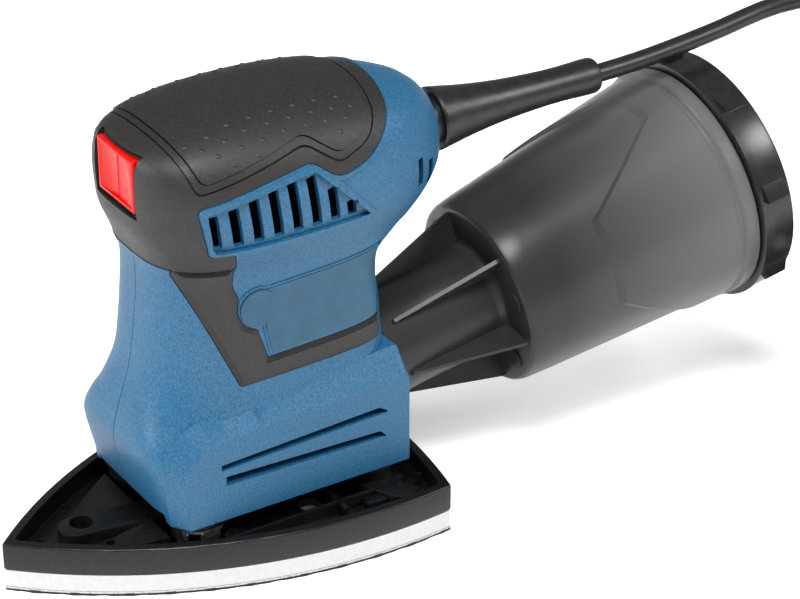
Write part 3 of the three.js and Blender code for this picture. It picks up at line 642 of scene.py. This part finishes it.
def housingShell():
    shell = combine(bodyForm(), [skirtPod()], "UNION")
    label = labelPrism()
    combine(label, [bar(7.7, 120, (0, -12, 95), "X", 64)], "UNION")
    raised = combine(bodyForm(-0.35), [label], "INTERSECT")
    border = combine(bodyForm(-grille["raised"]), [sidePrism(grille["border"], 1.2, 3)], "INTERSECT")
    bead = sidePrism(grownOutline(outlines["grip"], 1.6), outlines["gripCorners"])
    bead = combine(bodyForm(-0.55), [bead], "INTERSECT")
    combine(shell, [raised, border, bead], "UNION")
    field = combine(skin(-3, grille["sunk"]), [sidePrism(grille["field"], 1.0, 3)], "INTERSECT")
    layer = skin(-3, housing["gripDepth"] + 0.2)
    gripOuter = sidePrism(grownOutline(outlines["grip"], 0.25), outlines["gripCorners"])
    trimOuter = sidePrism(grownOutline(outlines["trim"], 0.25), outlines["trimCorners"])
    gripSeat = combine(duplicate(layer), [gripOuter], "INTERSECT")
    trimSeats = combine(layer, [trimOuter], "INTERSECT")
    line = outlinePrism([(35.4, 77), (36.3, 77), (36.1, 105), (35.2, 105)], -60, 60)
    groove = combine(skin(-3, 1.1), [line], "INTERSECT")
    frontStep = block((47, 30, 12), (0, -58, 20))
    cuts = [bodyForm(housing["wall"], 6), field, gripSeat, trimSeats, groove, frontStep,
            bar(25.3, 20, (0, 0, 37), segments=64), bar(10.6, 6.6, (0, 60, bootAxisZ), "Y")]
    return combine(shell, cuts + slotPrisms() + sharedOpenings())


def makeHousing():
    shell = housingShell()
    for side, name in ((1, "left_housing"), (-1, "right_housing")):
        half = block((100, 300, 300), (side * (50 + housing["splitGap"] / 2), 0, 100))
        piece = combine(duplicate(shell), [half], "INTERSECT")
        if side < 0:
            wells = [bar(3.7, 40, (-20 - seat, y, z), "X", 32) for y, z, seat in screws]
            combine(piece, wells)
        finishPiece(piece, name + "_shell", "machine", "blue", [name], 28)
    discard(shell)


makeCamera()
makeHousing()
makeLabels()
makePaintedVentShade()
print("housing ready")


def makeGrips():
    grip = skin(-0.3, housing["gripDepth"])
    combine(grip, [sidePrism(outlines["grip"], outlines["gripCorners"])], "INTERSECT")
    # a fine line follows the pad's edge
    inner = roundedOutline(grownOutline(outlines["pad"], 2.5), outlines["padCorners"])
    line = combine(sidePrism(grownOutline(outlines["pad"], 3.1), outlines["padCorners"]),
                   [outlinePrism(inner, -61, 61)])
    combine(line, [skin(-2, 0.35)], "INTERSECT")
    padSeat = sidePrism(grownOutline(outlines["pad"], 0.35), outlines["padCorners"])
    combine(grip, [padSeat, line, *sharedOpenings()])
    finishPiece(grip, "front_grip_moulding", "machine", "grip", ["front_grip"], 28)

    pad = combine(skin(-0.8, housing["gripDepth"]), [sidePrism(outlines["pad"], outlines["padCorners"])],
                  "INTERSECT")
    finishPiece(pad, "palm_grip_moulding", "machine", "grip", ["palm_grip"], 28)

    for side, name in ((1, "left_trim"), (-1, "right_trim")):
        trim = None
        for lift, inward in ((0.1, 0.0), (0.4, 0.5), (0.7, 1.0), (1.0, 1.5)):
            outline = sidePrism(grownOutline(outlines["trim"], -inward), outlines["trimCorners"])
            layer = combine(skin(-lift, housing["gripDepth"]), [outline], "INTERSECT")
            trim = combine(trim, [layer], "UNION") if trim else layer
        combine(trim, [block((60, 300, 300), (side * 36, 0, 100))], "INTERSECT")
        finishPiece(trim, name + "_moulding", "machine", "grip", [name], 28)


makeGrips()
print("grips ready")


# the mains lead: one line out of the sleeve, round the coil and on to the plug

lead = {
    "radius": 3.3,
    "exit": (0, 139.5, 129.5),
    "inSleeve": (0, 130, 129.5),
    "inPlug": (60, 286, 37.4),
    "route": [(0, 139.5, 129.5), (0, 150, 129.7), (0, 164, 130.5), (0, 180, 132.1), (0, 196, 134.1),
              (0, 212, 136.6), (3, 227, 138.7), (11, 240, 139.2), (23, 251, 136.6), (36, 261, 130.5),
              (49, 271, 120.5), (61, 280, 107.5), (73, 287, 92), (85, 291, 76), (96, 290.5, 61),
              (105, 285, 47.5), (110.5, 276, 37), (112, 264.5, 30.5), (109.5, 252.5, 28.4)],
    "tail": [(20.5, 280, 3.4), (20.5, 293.4, 3.4), (21.6, 301, 5), (25.2, 308.6, 9), (31.8, 313.4, 15.5),
             (40.2, 314.4, 23.4), (48.6, 311, 30.6), (55.2, 304.6, 35.4), (59.2, 297.6, 37.2), (60, 291.8, 37.4)],
    "coilCentre": (66, 266),
    "coilStart": math.radians(-32.6),
    "lowest": 3.4,
    "layerStep": 5.85,
    "inner": 32.2,
    "outer": 45.5,
    "entry": (44.5, 28.1),
    "turnPoints": 26,
    "plug": (60, 291, 37.4),
}


def coilPoints():
    # four layers wound inward and outward in turn, with a short climb between one layer and the next
    inner, outer, low, step = lead["inner"], lead["outer"], lead["lowest"], lead["layerStep"]
    start, entryHeight = lead["entry"]
    total = 8 + math.degrees(lead["coilStart"] + math.pi) / 360
    climb, first, middle = 0.17, 1.83, 2.0
    legs = [
        (first, start, inner, 3, 3), (climb, inner, inner, 3, 2), (middle, inner, outer, 2, 2),
        (climb, outer, outer, 2, 1), (middle, outer, inner, 1, 1), (climb, inner, inner, 1, 0),
        (total - first - 2 * middle - 3 * climb, inner, outer, 0, 0),
    ]
    points = []
    count = round(total * lead["turnPoints"])
    for i in range(count + 1):
        turn = passed = total * i / count
        for length, r0, r1, layer0, layer1 in legs:
            if passed <= length + 1e-6:
                break
            passed -= length
        t = passed / length
        ease = t * t * (3 - 2 * t)
        height = low + step * (layer0 + (layer1 - layer0) * ease)
        settle = min(1, turn / 0.4)
        height += (1 - settle * settle * (3 - 2 * settle)) * (entryHeight - low - 3 * step)
        angle = lead["coilStart"] - 2 * math.pi * turn
        radius = r0 + (r1 - r0) * t
        points.append((lead["coilCentre"][0] + radius * math.cos(angle),
                       lead["coilCentre"][1] + radius * math.sin(angle), height))
    return points


def smoothRoute(points, before, after, count):
    # a line through the points with a few more between each pair
    whole = [Vector(before)] + [Vector(p) for p in points] + [Vector(after)]
    result = []
    for a, b, c, d in zip(whole, whole[1:], whole[2:], whole[3:]):
        for k in range(count):
            t = k / count
            result.append(tuple(0.5 * (2 * b + (c - a) * t + (2 * a - 5 * b + 4 * c - d) * t * t
                                       + (3 * b - a - 3 * c + d) * t**3)))
    return result + [tuple(whole[-2])]


def makeTie():
    # a flat strap closed round the bundle
    low, high = lead["inner"] - 4.4, lead["outer"] + 4.4
    corners = [(low, 0.1), (high, 0.1), (high, 25.2), (low, 25.2)]
    outer = outlinePrism(roundedOutline(corners, 6, 8), -2.5, 2.5)
    inside = outlinePrism(roundedOutline(grownOutline(corners, -1.0), 5.4, 8), -4, 4)
    strap = combine(outer, [inside])
    knot = block((6.4, 7, 3.4), (0, (low + high) / 2, 25.9))
    softenEdges(knot, 0.6)
    combine(strap, [knot], "UNION")
    turn = Matrix.Rotation(math.radians(125), 4, "Z")
    placed(strap, Matrix.Translation((*lead["coilCentre"], 0)) @ turn)
    return finishPiece(strap, "cord_tie", "machine", "satin")


def makePlug():
    place = Matrix.Translation(lead["plug"]) @ Matrix.Rotation(-math.pi / 2, 4, "Z")
    plan = [(0, -4.6), (6, -5), (14, -9), (20, -14.6), (27, -16.8), (46, -17), (50, -15), (50, 15), (46, 17),
            (27, 16.8), (20, 14.6), (14, 9), (6, 5), (0, 4.6)]
    body = planPrism(roundedOutline(plan, 3.5, 5), -12.4, 12.4)
    profile = [(-2, -5), (6, -5.6), (20, -11.6), (30, -12.4), (52, -12.4), (52, 12.4), (30, 12.4), (20, 11.6),
               (6, 5.6), (-2, 5)]
    side = extrudedOutline([(x, -20, z) for x, z in roundedOutline(profile, 4, 5)], (0, 40, 0))
    combine(body, [side], "INTERSECT")
    # finger grooves that go 1.4 mm wide round the body
    grooves = [combine(block((1.4, 36, 30), (x, 0, 0)), [block((14, 30.4, 22.4), (36, 0, 0))])
               for x in (31, 34.5, 38, 41.5)]
    combine(body, grooves)
    softenEdges(body, 0.5, 2, 40)
    neck = [bar(radius, 1.6, (x, 0, 0), "X", 32) for x, radius in ((2.5, 5.6), (5.5, 6.0), (8.5, 7.0))]
    combine(body, neck, "UNION")
    placed(body, place)
    finishPiece(body, "plug_body", "machine", "rubber", ["mains_plug"])
    pieces = [body]
    for name, finish, radius, length, x, softness in (("plug_pin_sleeves", "satin", 2.05, 10.4, 54.6, 0),
                                                      ("plug_pins", "steel", 2.35, 9.6, 63.8, 1.1)):
        pair = [bar(radius, length, (x, y, 0), "X", 32) for y in (-9.5, 9.5)]
        if softness:
            for pin in pair:
                softenEdges(pin, softness, 4)
        both = placed(combine(pair[0], pair[1:], "UNION"), place)
        pieces.append(finishPiece(both, name, "machine", finish))
    return pieces


def makeLead():
    coil = coilPoints()
    free = smoothRoute(lead["route"], lead["inSleeve"], coil[0], 2)
    tail = smoothRoute(lead["tail"], coil[-1], lead["inPlug"], 3)
    points = [tuple(c * metres for c in p) for p in free + coil + tail]
    curve = bpy.data.curves.new("mains_lead", "CURVE")
    curve.dimensions = "3D"
    curve.bevel_depth = lead["radius"] * metres
    curve.bevel_resolution = 6
    spline = curve.splines.new("POLY")
    spline.points.add(len(points) - 1)
    for target, point in zip(spline.points, points):
        target.co = (*point, 1)
    curve.materials.append(finishes["rubber"])
    obj = bpy.data.objects.new("mains_lead", curve)
    bpy.context.scene.collection.objects.link(obj)
    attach(obj, "machine")
    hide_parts("mains_cord", "cord_coil", "cord_tail")
    makeTie()
    makePlug()


makeLead()
print("lead ready")


def makeSleeve():
    # the bend sleeve: a ring at the housing, a long flare and a short collar round the cord
    profile = [(3.4, 60), (10.3, 60), (10.3, 63), (8.7, 63.3), (8.7, 71.4), (10.6, 71.6), (11.1, 72.4),
               (10.7, 75), (10.1, 78.5), (9.3, 83), (8.5, 88.5), (7.8, 94), (7.2, 100), (6.75, 106), (6.4, 112),
               (6.15, 118), (6.05, 124), (6.2, 130), (6.35, 134), (6.35, 137.6), (6.0, 138.7), (5.2, 139),
               (3.4, 139)]
    sleeve = turned(profile, 64, closed=True)
    placed(sleeve, Matrix.Translation((0, 0, bootAxisZ)) @ Matrix.Rotation(-math.pi / 2, 4, "X"))
    finishPiece(sleeve, "bend_sleeve", "machine", "rubber", ["cord_sleeve"], 40)


makeSleeve()


# the dust box, worked on its own axis: Z along it from the shoulder, -Y upward, the wide end raised

box = {
    "rise": 4.0,
    "lipAt": 87.0,
    "neckLength": 46.0,
    "neck": 19.1,
    "wall": 1.8,
    "fins": [10 + 60 * k for k in range(6)],
    "panelEdge": [(-76, 73), (-42, 35), (8, 36), (52, 73)],
    "panelEdgeWidth": 2.4,
    "panelRaise": 1.25,
    "segments": 180,
    "discs": [(-20, 26.4), (40, 26.4), (160, 26.4), (-140, 26.4)],
}


def risen(obj):
    for vert in obj.data.vertices:
        vert.co.y -= box["rise"] * min(1, max(0, vert.co.z / box["lipAt"]))
    return obj


def panelEdgeAt(degrees):
    # where the raised panel starts, from the side's middle line: the same on both sides
    degrees = (degrees + 180) % 360 - 180
    if degrees > 90 or degrees < -90:
        degrees = (180 - degrees + 180) % 360 - 180
    rows = box["panelEdge"]
    if degrees <= rows[0][0] or degrees >= rows[-1][0]:
        return rows[0][1]
    for (a, s), (b, t) in zip(rows, rows[1:]):
        if degrees <= b:
            return s + (t - s) * (degrees - a) / (b - a)


def coneRadius(s):
    return 34.2 + 7.6 * s / box["lipAt"]


def coneSkin():
    half, lift = box["panelEdgeWidth"] / 2, box["panelRaise"]
    neck, wall, length = box["neck"], box["wall"], box["neckLength"]
    fixed = [(neck - 1.7, -length), (neck + 0.7, -length), (neck + 0.9, -length + 0.5), (neck + 0.9, -length + 3),
             (neck, -length + 3.5), (neck, -24), (neck + 0.25, -23), (neck + 0.25, -3), (neck + 1.2, -0.8),
             (neck + 2.4, -0.2), (31.6, 0), (32.8, 0.35), (33.7, 1.2), (34.2, 2.6)]
    end = [(43.0, 87), (43.6, 87.7), (43.6, 92.4), (42.0, 92.6), (42.0, 100), (40.0, 100), (40.0, 87),
           (coneRadius(60) - wall, 60), (coneRadius(30) - wall, 30), (32.4, 4), (30.5, 1.9), (neck, 1.8),
           (neck - 1.7, 0.5)]
    columns = []
    for k in range(box["segments"]):
        degrees = 360 * k / box["segments"]
        edge = panelEdgeAt(degrees)
        rows = list(fixed)
        for t in (0.15, 0.4, 0.7):
            s = 2.6 + (edge - half - 2.6) * t
            rows.append((coneRadius(s), s))
        rows.append((coneRadius(edge - half), edge - half))
        rows.append((coneRadius(edge + half) + lift, edge + half))
        for t in (0.3, 0.6, 0.86):
            s = edge + half + (84.4 - edge - half) * t
            rows.append((coneRadius(s) + lift, s))
        rows += [(coneRadius(84.4) + lift, 84.4), (coneRadius(85) + lift - 0.7, 85.0),
                 (coneRadius(86.4) + lift - 0.6, 86.6)]
        rows += end
        angle = math.radians(degrees)
        columns.append([(r * math.cos(angle), r * math.sin(angle), s) for r, s in rows])
    return risen(stackedRings(list(zip(*columns)), "cone", closed=True))


def finBlade(degrees):
    neck, length = box["neck"], box["neckLength"]
    corners = [(neck - 0.8, -length + 4.5), (neck + 1.0, -length + 6), (31.4, -1.2), (31.4, 0.5),
               (neck - 0.8, 0.5)]
    blade = extrudedOutline([(r, -0.7, s) for r, s in corners], (0, 1.4, 0))
    return placed(blade, Matrix.Rotation(math.radians(degrees), 4, "Z"))


def makeDustBox():
    container = coneSkin()
    extras = [finBlade(degrees) for degrees in box["fins"]]
    for degrees, radius in box["discs"]:
        angle = math.radians(degrees)
        extras.append(bar(4.2, 0.9, (radius * math.cos(angle), radius * math.sin(angle), -0.1), "Z", 40))
    combine(container, extras, "UNION")
    placed(container, boxMatrix)
    finishPiece(container, "dust_box_shell", "dust_box", "smoke", ["dust_container"], 16)


makeDustBox()
print("dust box ready")


cap = {"start": 93.2, "end": 107.5, "radius": 45.5, "ribs": 8, "slots": 6}


def capWedge(turn):
    # a finger rib: flush at one side, proud at the other
    inner, outer = cap["radius"] - 1.5, cap["radius"] + 1.9
    corners = [(inner, -3.2), (cap["radius"] + 0.1, -3.2), (outer, 2.4), (outer, 3.2), (inner, 3.2)]
    return placed(planPrism(corners, 95.6, 104.6), Matrix.Rotation(turn, 4, "Z"))


def makeCap():
    radius, low, high = cap["radius"], cap["start"], cap["end"]
    profile = [(0, high - 3), (15, high - 3), (15, 100.8), (17.5, 100.8), (17.5, high - 3), (42.5, high - 3),
               (42.5, low), (radius - 0.3, low), (radius + 0.4, low + 0.3), (radius + 0.4, low + 1.3),
               (radius, low + 1.6), (radius, high - 2.6), (radius - 0.4, high - 1.1), (radius - 1.6, high - 0.2),
               (radius - 3.2, high + 0.2), (radius - 6, high), (radius - 7, high - 0.8), (12, high - 0.8),
               (11, high - 0.2), (0, high - 0.2)]
    body = turned(profile, 144)
    combine(body, [capWedge(math.radians(-60 + 45 * k)) for k in range(cap["ribs"])], "UNION")
    slots = []
    for k in range(cap["slots"]):
        slot = planPrism(roundedOutline([(18, -2), (34, -2), (34, 2), (18, 2)], 1.9, 5), 96, 112)
        slots.append(placed(slot, Matrix.Rotation(math.pi * k / 3, 4, "Z")))
    combine(body, slots)
    placed(body, boxMatrix @ Matrix.Translation((0, -box["rise"], 0)))
    finishPiece(body, "dust_box_cap", "cap", "satin", ["box_cap"], 30)


makeCap()
print("cap ready")


# the sanding plate: black frame, foam pad and sheet

plate = {
    "halfWidth": 50.0,
    "tipAngle": math.radians(44),
    "tipY": -95.0,
    "rearY": 49.3,
    "rearBow": 5.4,
    "sheet": (0.0, 1.5),
    "pad": (1.7, 7.9),
    "frame": (8.1, 11.1, 18.1),
    "wall": 3.2,
    "holes": [(-24, 8), (24, 8), (-27, -22), (27, -22), (0, -34), (0, -66), (-36, 42), (36, 42)],
    "cups": [(-22.6, -35.2), (22.6, -35.2), (-22.6, 33.8), (22.6, 33.8)],
    "pins": [(-17.8, -63.2, 1.7), (-3.7, -79.9, 1.5), (10.4, -60.5, 1.5), (17.8, -63.2, 1.7),
             (39.6, 43.4, 1.8), (-39.6, 43.4, 1.8)],
    "orbit": 0.8,
}


def plateOutline(inset=0.0, corner=0.0):
    # two arcs meeting at the tip, and a bowed rear edge
    angle = plate["tipAngle"]
    radius = plate["halfWidth"] / (1 - math.cos(angle))
    centreX, centreY = -radius * math.cos(angle), plate["tipY"] + radius * math.sin(angle)
    edge = radius - inset
    first = -math.acos(-centreX / edge)
    last = math.asin((plate["rearY"] - inset - centreY) / edge)
    side = [(centreX + edge * math.cos(first + (last - first) * k / 40),
             centreY + edge * math.sin(first + (last - first) * k / 40)) for k in range(41)]
    side[0] = (0.0, side[0][1])
    x, y = side[-1]
    shares = [k / 16 for k in range(1, 16)]
    rear = [(x * (1 - 2 * t), y + 4 * t * (1 - t) * plate["rearBow"]) for t in shares]
    points = side + rear + [(-a, b) for a, b in reversed(side[1:])]
    if not corner:
        return points
    radii = [corner if i in (0, 40, 56) else 0.01 for i in range(len(points))]
    return roundedOutline(points, radii, 4)


def dustHoleBars(radius, low, high):
    return [bar(radius, high - low + 2, (x, y, (high + low) / 2), segments=40) for x, y in plate["holes"]]


def capsule(a, b, radius, low, high):
    start, end = Vector(a), Vector(b)
    along = (end - start).normalized()
    side = Vector((-along.y, along.x)) * radius
    points = []
    for centre, turn in ((start, math.pi), (end, 0)):
        for k in range(13):
            angle = turn - math.pi / 2 + math.pi * k / 12
            offset = along * radius * math.cos(angle) + side * math.sin(angle)
            points.append(tuple(centre + offset))
    return planPrism(points, low, high)


def makePlateFrame():
    bottom, floor, top = plate["frame"]
    body = planPrism(plateOutline(), bottom, top)
    softenEdges(body, 0.7, 3, 50)
    hollow = planPrism(plateOutline(plate["wall"], 1.6), floor, top + 4)
    combine(body, [hollow])
    raised = []
    # a sloping pocket floor in the tip, walls beside it and two curved arms
    slope = outlinePrism([(-93, floor - 1), (-93, floor + 0.2), (-60, floor + 1.2), (-44, floor + 5.2),
                          (-38, floor + 6.2), (-38, floor - 1)], -60, 60)
    pocket = planPrism(plateOutline(9.5, 3), bottom + 1, top - 2)
    tipHalf = block((120, 60, 40), (0, -75, 14))
    combine(pocket, [slope, tipHalf], "INTERSECT")
    raised.append(pocket)
    raised.append(capsule((1, -68.5), (6.5, -30), 6.0, bottom + 1, top - 1.6))
    raised.append(capsule((0.5, -30), (-24, -30), 5.0, bottom + 1, top - 0.8))
    for side in (1, -1):
        raised.append(capsule((side * 37.5, 36), (side * 24, 30), 6.6, bottom + 1, top - 2.2))
        raised.append(capsule((side * 37.5, 24), (side * 37.5, 36), 2.2, bottom + 1, top - 3.4))
        raised.append(block((1.2, 1.6, 3.2), (side * 29.7, 8.8, floor + 1.2)))
        raised.append(capsule((side * 22.6, -35), (side * 12, -20), 3.0, bottom + 1, top - 0.5))
        raised.append(block((1.4, 86, 5.5), (side * 33.4, 4, floor + 2)))
        raised.append(block((2.2, 20, 5.5), (side * 10, 30, floor + 2)))
    raised.append(block((78, 2.2, 5.5), (0, 14, floor + 2)))
    for piece in raised[1:]:
        softenEdges(piece, 0.5, 2, 50)
    inside = planPrism(plateOutline(plate["wall"] / 2), bottom, 22)
    for piece in raised:
        combine(piece, [duplicate(inside)], "INTERSECT")
    discard(inside)
    hub = bar(16.5, 26.6 - bottom, (0, plate["orbit"], (26.6 + bottom) / 2), segments=96)
    cups = [bar(8.0, 20.6 - bottom, (x, y, (20.6 + bottom) / 2), segments=64) for x, y in plate["cups"]]
    for piece in [hub, *cups]:
        softenEdges(piece, 0.5, 2, 50)
    combine(body, [*raised, hub, *cups], "UNION")
    cuts = [bar(13.3, 9.3, (0, plate["orbit"], 22.95), segments=96)]
    for x, y in plate["cups"]:
        cuts.append(bar(6.3, 20.6, (x, y, 22.4), segments=64))
        head = bar(4, 2.2, (x, y, bottom + 0.9), segments=32)
        cuts.append(combine(bar(2.2, 12, (x, y, floor), segments=24), [head], "UNION"))
    cuts += [bar(radius, 20, (x, y, 16)) for x, y, radius in plate["pins"]]
    combine(body, cuts + dustHoleBars(4, bottom, 22))
    finishPiece(body, "plate_frame_moulding", "plate", "black", ["plate_frame"], 30)


def makePadAndSheet():
    low, high = plate["pad"]
    pad = planPrism(plateOutline(0.2, 1.2), low, high)
    combine(pad, dustHoleBars(4, low, high))
    finishPiece(pad, "sanding_foam", "plate", "foam", ["foam_pad"], 30)
    low, high = plate["sheet"]
    backing = planPrism(plateOutline(0.1, 0.8), low + 0.9, high)
    combine(backing, dustHoleBars(4, low, high))
    finishPiece(backing, "sheet_backing", "plate", "cloth", ["sanding_sheet"], 30)
    # the grit side, with its torn edge a little in and out
    points = plateOutline(0.2)
    dense = []
    for a, b in zip(points, points[1:] + points[:1]):
        pieces = max(1, round(math.dist(a, b) / 1.1))
        for k in range(pieces):
            t = k / pieces
            ragged = 0.16 * math.sin(12.9898 * len(dense)) + 0.12 * math.sin(7.233 * len(dense) + 1.3)
            dense.append(((a[0] + (b[0] - a[0]) * t) * (1 - ragged / 50),
                          (a[1] + (b[1] - a[1]) * t) * (1 - ragged / 60)))
    grit = planPrism(dense, low, low + 1.05)
    combine(grit, dustHoleBars(4, low, high))
    finishPiece(grit, "grit_layer", "plate", "grit", (), 30)


def makeFeet():
    # rubber feet between plate and housing, and a steel clip by each front one
    for side, name in ((1, "left"), (-1, "right")):
        for y, end in ((-36, "front"), (33, "rear")):
            low, high = 17.6, 47.7
            profile = [(0, low), (4.0, low), (4.4, low + 0.5), (4.4, low + 3.6), (4.0, low + 4.4),
                       (3.3, low + 6.4), (3.2, low + 8), (3.2, high - 9), (3.4, high - 7.6), (4.3, high - 6),
                       (4.4, high - 5.4), (4.4, high - 0.4), (4.0, high), (0, high)]
            foot = turned(profile, 48)
            placed(foot, Matrix.Translation((side * 22.6, y, 0)))
            node = f"elastic_foot_{name}_{end}"
            finishPiece(foot, node.replace("elastic", "rubber"), "machine", "grey", [node])
        strip = [(20.8, -43.4), (29.6, -40.6), (31.4, -37.6), (31.4, -30), (29.4, -28), (26, -28), (26, -33),
                 (20.8, -36)]
        clip = planPrism([(side * x, y) for x, y in roundedOutline(strip, 1.0, 3)], 18.9, 19.9)
        tab = block((1.0, 7, 4.4), (side * 30.9, -34, 17.3))
        front = block((7.4, 1.0, 3.4), (side * 25.6, -41.6, 17.9))
        combine(clip, [bar(6.5, 6, (side * 22.6, -35.2, 19.4))])
        softenEdges(tab, 0.3)
        softenEdges(front, 0.3)
        combine(clip, [tab, front], "UNION")
        finishPiece(clip, f"foot_clip_{name}", "plate", "steel")


makePlateFrame()
makePadAndSheet()
makeFeet()
print("plate ready")


# the rocker switch in its dark surround

switch = {"half": 12.0, "height": 18.6, "rim": 1.3}


def makeSwitch():
    half, tall, rim, face = switch["half"], switch["height"] / 2, switch["rim"], switchFaceY
    frame = block((26.4, 7.4, 21.2), (0, face + 4.3, switchZ))
    softenEdges(frame, 1.2, 3)
    cut = block((24.8, 20, 19.4), (0, face + 4, switchZ))
    combine(frame, [cut])
    limit = bodyForm(0.35)
    combine(frame, [limit], "INTERSECT")
    finishPiece(frame, "switch_surround", "machine", "satin", ["switch_bezel"])

    body = block((2 * half, 5.4, 2 * tall), (0, face + 3.0, switchZ))
    softenEdges(body, 0.7, 3)
    left = [(-half + rim, face - 2), (0, face - 2), (0, face + 1.5), (-half + rim, face + 0.5)]
    right = [(0, face - 2), (half - rim, face - 2), (half - rim, face + 0.5), (0, face + 1.5)]
    dishes = [planPrism(points, switchZ - tall + rim, switchZ + tall - rim) for points in (left, right)]
    for dish in dishes:
        softenEdges(dish, 0.25, 2)
    combine(body, dishes)
    ring = combine(bar(2.0, 3.0, (6.4, face + 2.3, switchZ - 4.5), "Y", 40),
                   [bar(1.15, 8, (6.4, face - 3.2, switchZ - 4.5), "Y", 40)])
    combine(body, [ring], "UNION")
    finishPiece(body, "rocker_cap", "switch", "red", ["switch_rocker"], 30)


makeSwitch()
print("switch ready")


# bumps on the palm pad

bumps = {
    "radius": 1.35,
    "height": 0.6,
    "padLift": 0.75,
    "rows": [  # half width of a row and the Y places along it, from the edge of the pad inward
        (28.4, [-31.0]), (29.8, [-20.0, -11.5]), (29.0, [19.0]),
        (26.6, [-24.0, -16.0, -8.0]), (25.5, [0.0, 8.0, 15.5, 23.0]),
        (23.2, [-28.0, -20.0]), (21.8, [-12.0, -3.8, 4.2, 12.2, 20.0, 27.0]),
        (19.4, [-32.0, -24.0]), (17.6, [-16.0, -8.0, 0.0, 8.0, 16.0, 24.0]),
    ],
}


def heightAt(x, y):
    # the top of the pad above a point, by halving
    low, high = 140.0, 158.5
    for _ in range(24):
        middle = (low + high) / 2
        half, front, rear, frontPower, rearPower = sectionAt(middle)
        centre = formCentre(front, rear, rearPower)
        reach = centre - front if y < centre else rear - centre
        power = frontPower if y < centre else rearPower
        inside = (abs(x) / half) ** power + (abs(y - centre) / max(reach, 0.6)) ** power < 1
        low, high = (middle, high) if inside else (low, middle)
    return low


def makeBumps():
    bm = bmesh.new()
    for x, places in bumps["rows"]:
        for y in places:
            for side in (1, -1):
                here = Vector((side * x, y, heightAt(x, y) + bumps["padLift"]))
                slopeX = (heightAt(x + 0.4, y) - heightAt(x - 0.4, y)) / 0.8
                slopeY = (heightAt(x, y + 0.4) - heightAt(x, y - 0.4)) / 0.8
                normal = Vector((-side * slopeX, -slopeY, 1)).normalized()
                made = bmesh.ops.create_uvsphere(bm, u_segments=20, v_segments=12,
                                                 radius=bumps["radius"])["verts"]
                bmesh.ops.scale(bm, verts=made, vec=(1, 1, bumps["height"] * 2 / bumps["radius"]))
                bmesh.ops.rotate(bm, verts=made, matrix=normal.to_track_quat("Z", "Y").to_matrix())
                bmesh.ops.translate(bm, verts=made, vec=here - normal * bumps["height"] * 0.9)
    finishPiece(workObject(bm, "bumps"), "palm_pad_bumps", "machine", "grip")


makeBumps()
print("bumps ready")


# finishes of the nodes that no finer piece replaces

nodeFinishes = {
    "satin": ["dust_duct", "switch_body", "cooling_fan", "upper_bearing_seat"],
    "steel": [*[f"plate_screw_{k}" for k in range(1, 5)], *[f"housing_screw_{k}" for k in range(1, 6)],
              "motor_shaft", "eccentric_counterweight", "orbit_bearing", "lower_bearing", "upper_bearing",
              "armature_core", "field_core", "bearing_bracket"],
    "copper": ["armature_winding_lower", "armature_winding_upper", "commutator", "field_winding_lower",
               "field_winding_upper", "brush_holder_left", "brush_holder_right"],
    "grey": ["dust_fan", "filter_frame", "cord_clamp", "terminal_block"],
    "carbon": ["carbon_brush_left", "carbon_brush_right", "suppressor_capacitor"],
    "paper": ["pleated_filter"],
    "rubber": ["cord_stub", "duct_seal"],
}


def paintNodes():
    for finish, names in nodeFinishes.items():
        for name in names:
            mesh = nodes[name].data
            mesh.materials.clear()
            mesh.materials.append(finishes[finish])


paintNodes()


# floor and lights

studio = {"floor": "#fafafa", "key": 14.0, "rim": 10.0, "top": 19.0, "world": 0.28, "floorGlow": 0.4}


def areaLight(name, place, target, size, power):
    data = bpy.data.lights.new(name, "AREA")
    data.shape = "DISK"
    data.size = size
    data.energy = power
    obj = bpy.data.objects.new(name, data)
    bpy.context.scene.collection.objects.link(obj)
    obj.location = place
    obj.rotation_mode = "QUATERNION"
    obj.rotation_quaternion = (Vector(target) - Vector(place)).to_track_quat("-Z", "Y")


def makeStudio():
    bm = bmesh.new()
    bmesh.ops.create_grid(bm, x_segments=1, y_segments=1, size=6)
    floor = workObject(bm, "floor")
    material, tree, shader, place = newMaterial("painted_floor")
    mixedColour(tree, shader, place, "#f2f2f2", studio["floor"], 60.0)
    shader.inputs["Roughness"].default_value = 0.9
    shader.inputs["Emission Color"].default_value = (1, 1, 1, 1)
    shader.inputs["Emission Strength"].default_value = studio["floorGlow"]
    floor.data.materials.append(material)
    floor.location.z = -0.0002
    world = bpy.data.worlds.new("studio")
    world.use_nodes = True
    world.node_tree.nodes["Background"].inputs["Color"].default_value = (1, 1, 1, 1)
    world.node_tree.nodes["Background"].inputs["Strength"].default_value = studio["world"]
    bpy.context.scene.world = world
    areaLight("key", (-0.25, -1.25, 0.75), (0, 0, 0.08), 0.55, studio["key"])
    areaLight("rim", (0.8, 1.0, 0.95), (0, 0.08, 0.08), 0.5, studio["rim"])
    areaLight("top", (0.55, -0.25, 1.3), (0, 0.05, 0.08), 0.5, studio["top"])
    bpy.context.scene.view_settings.view_transform = "Standard"


makeStudio()
print("studio ready")
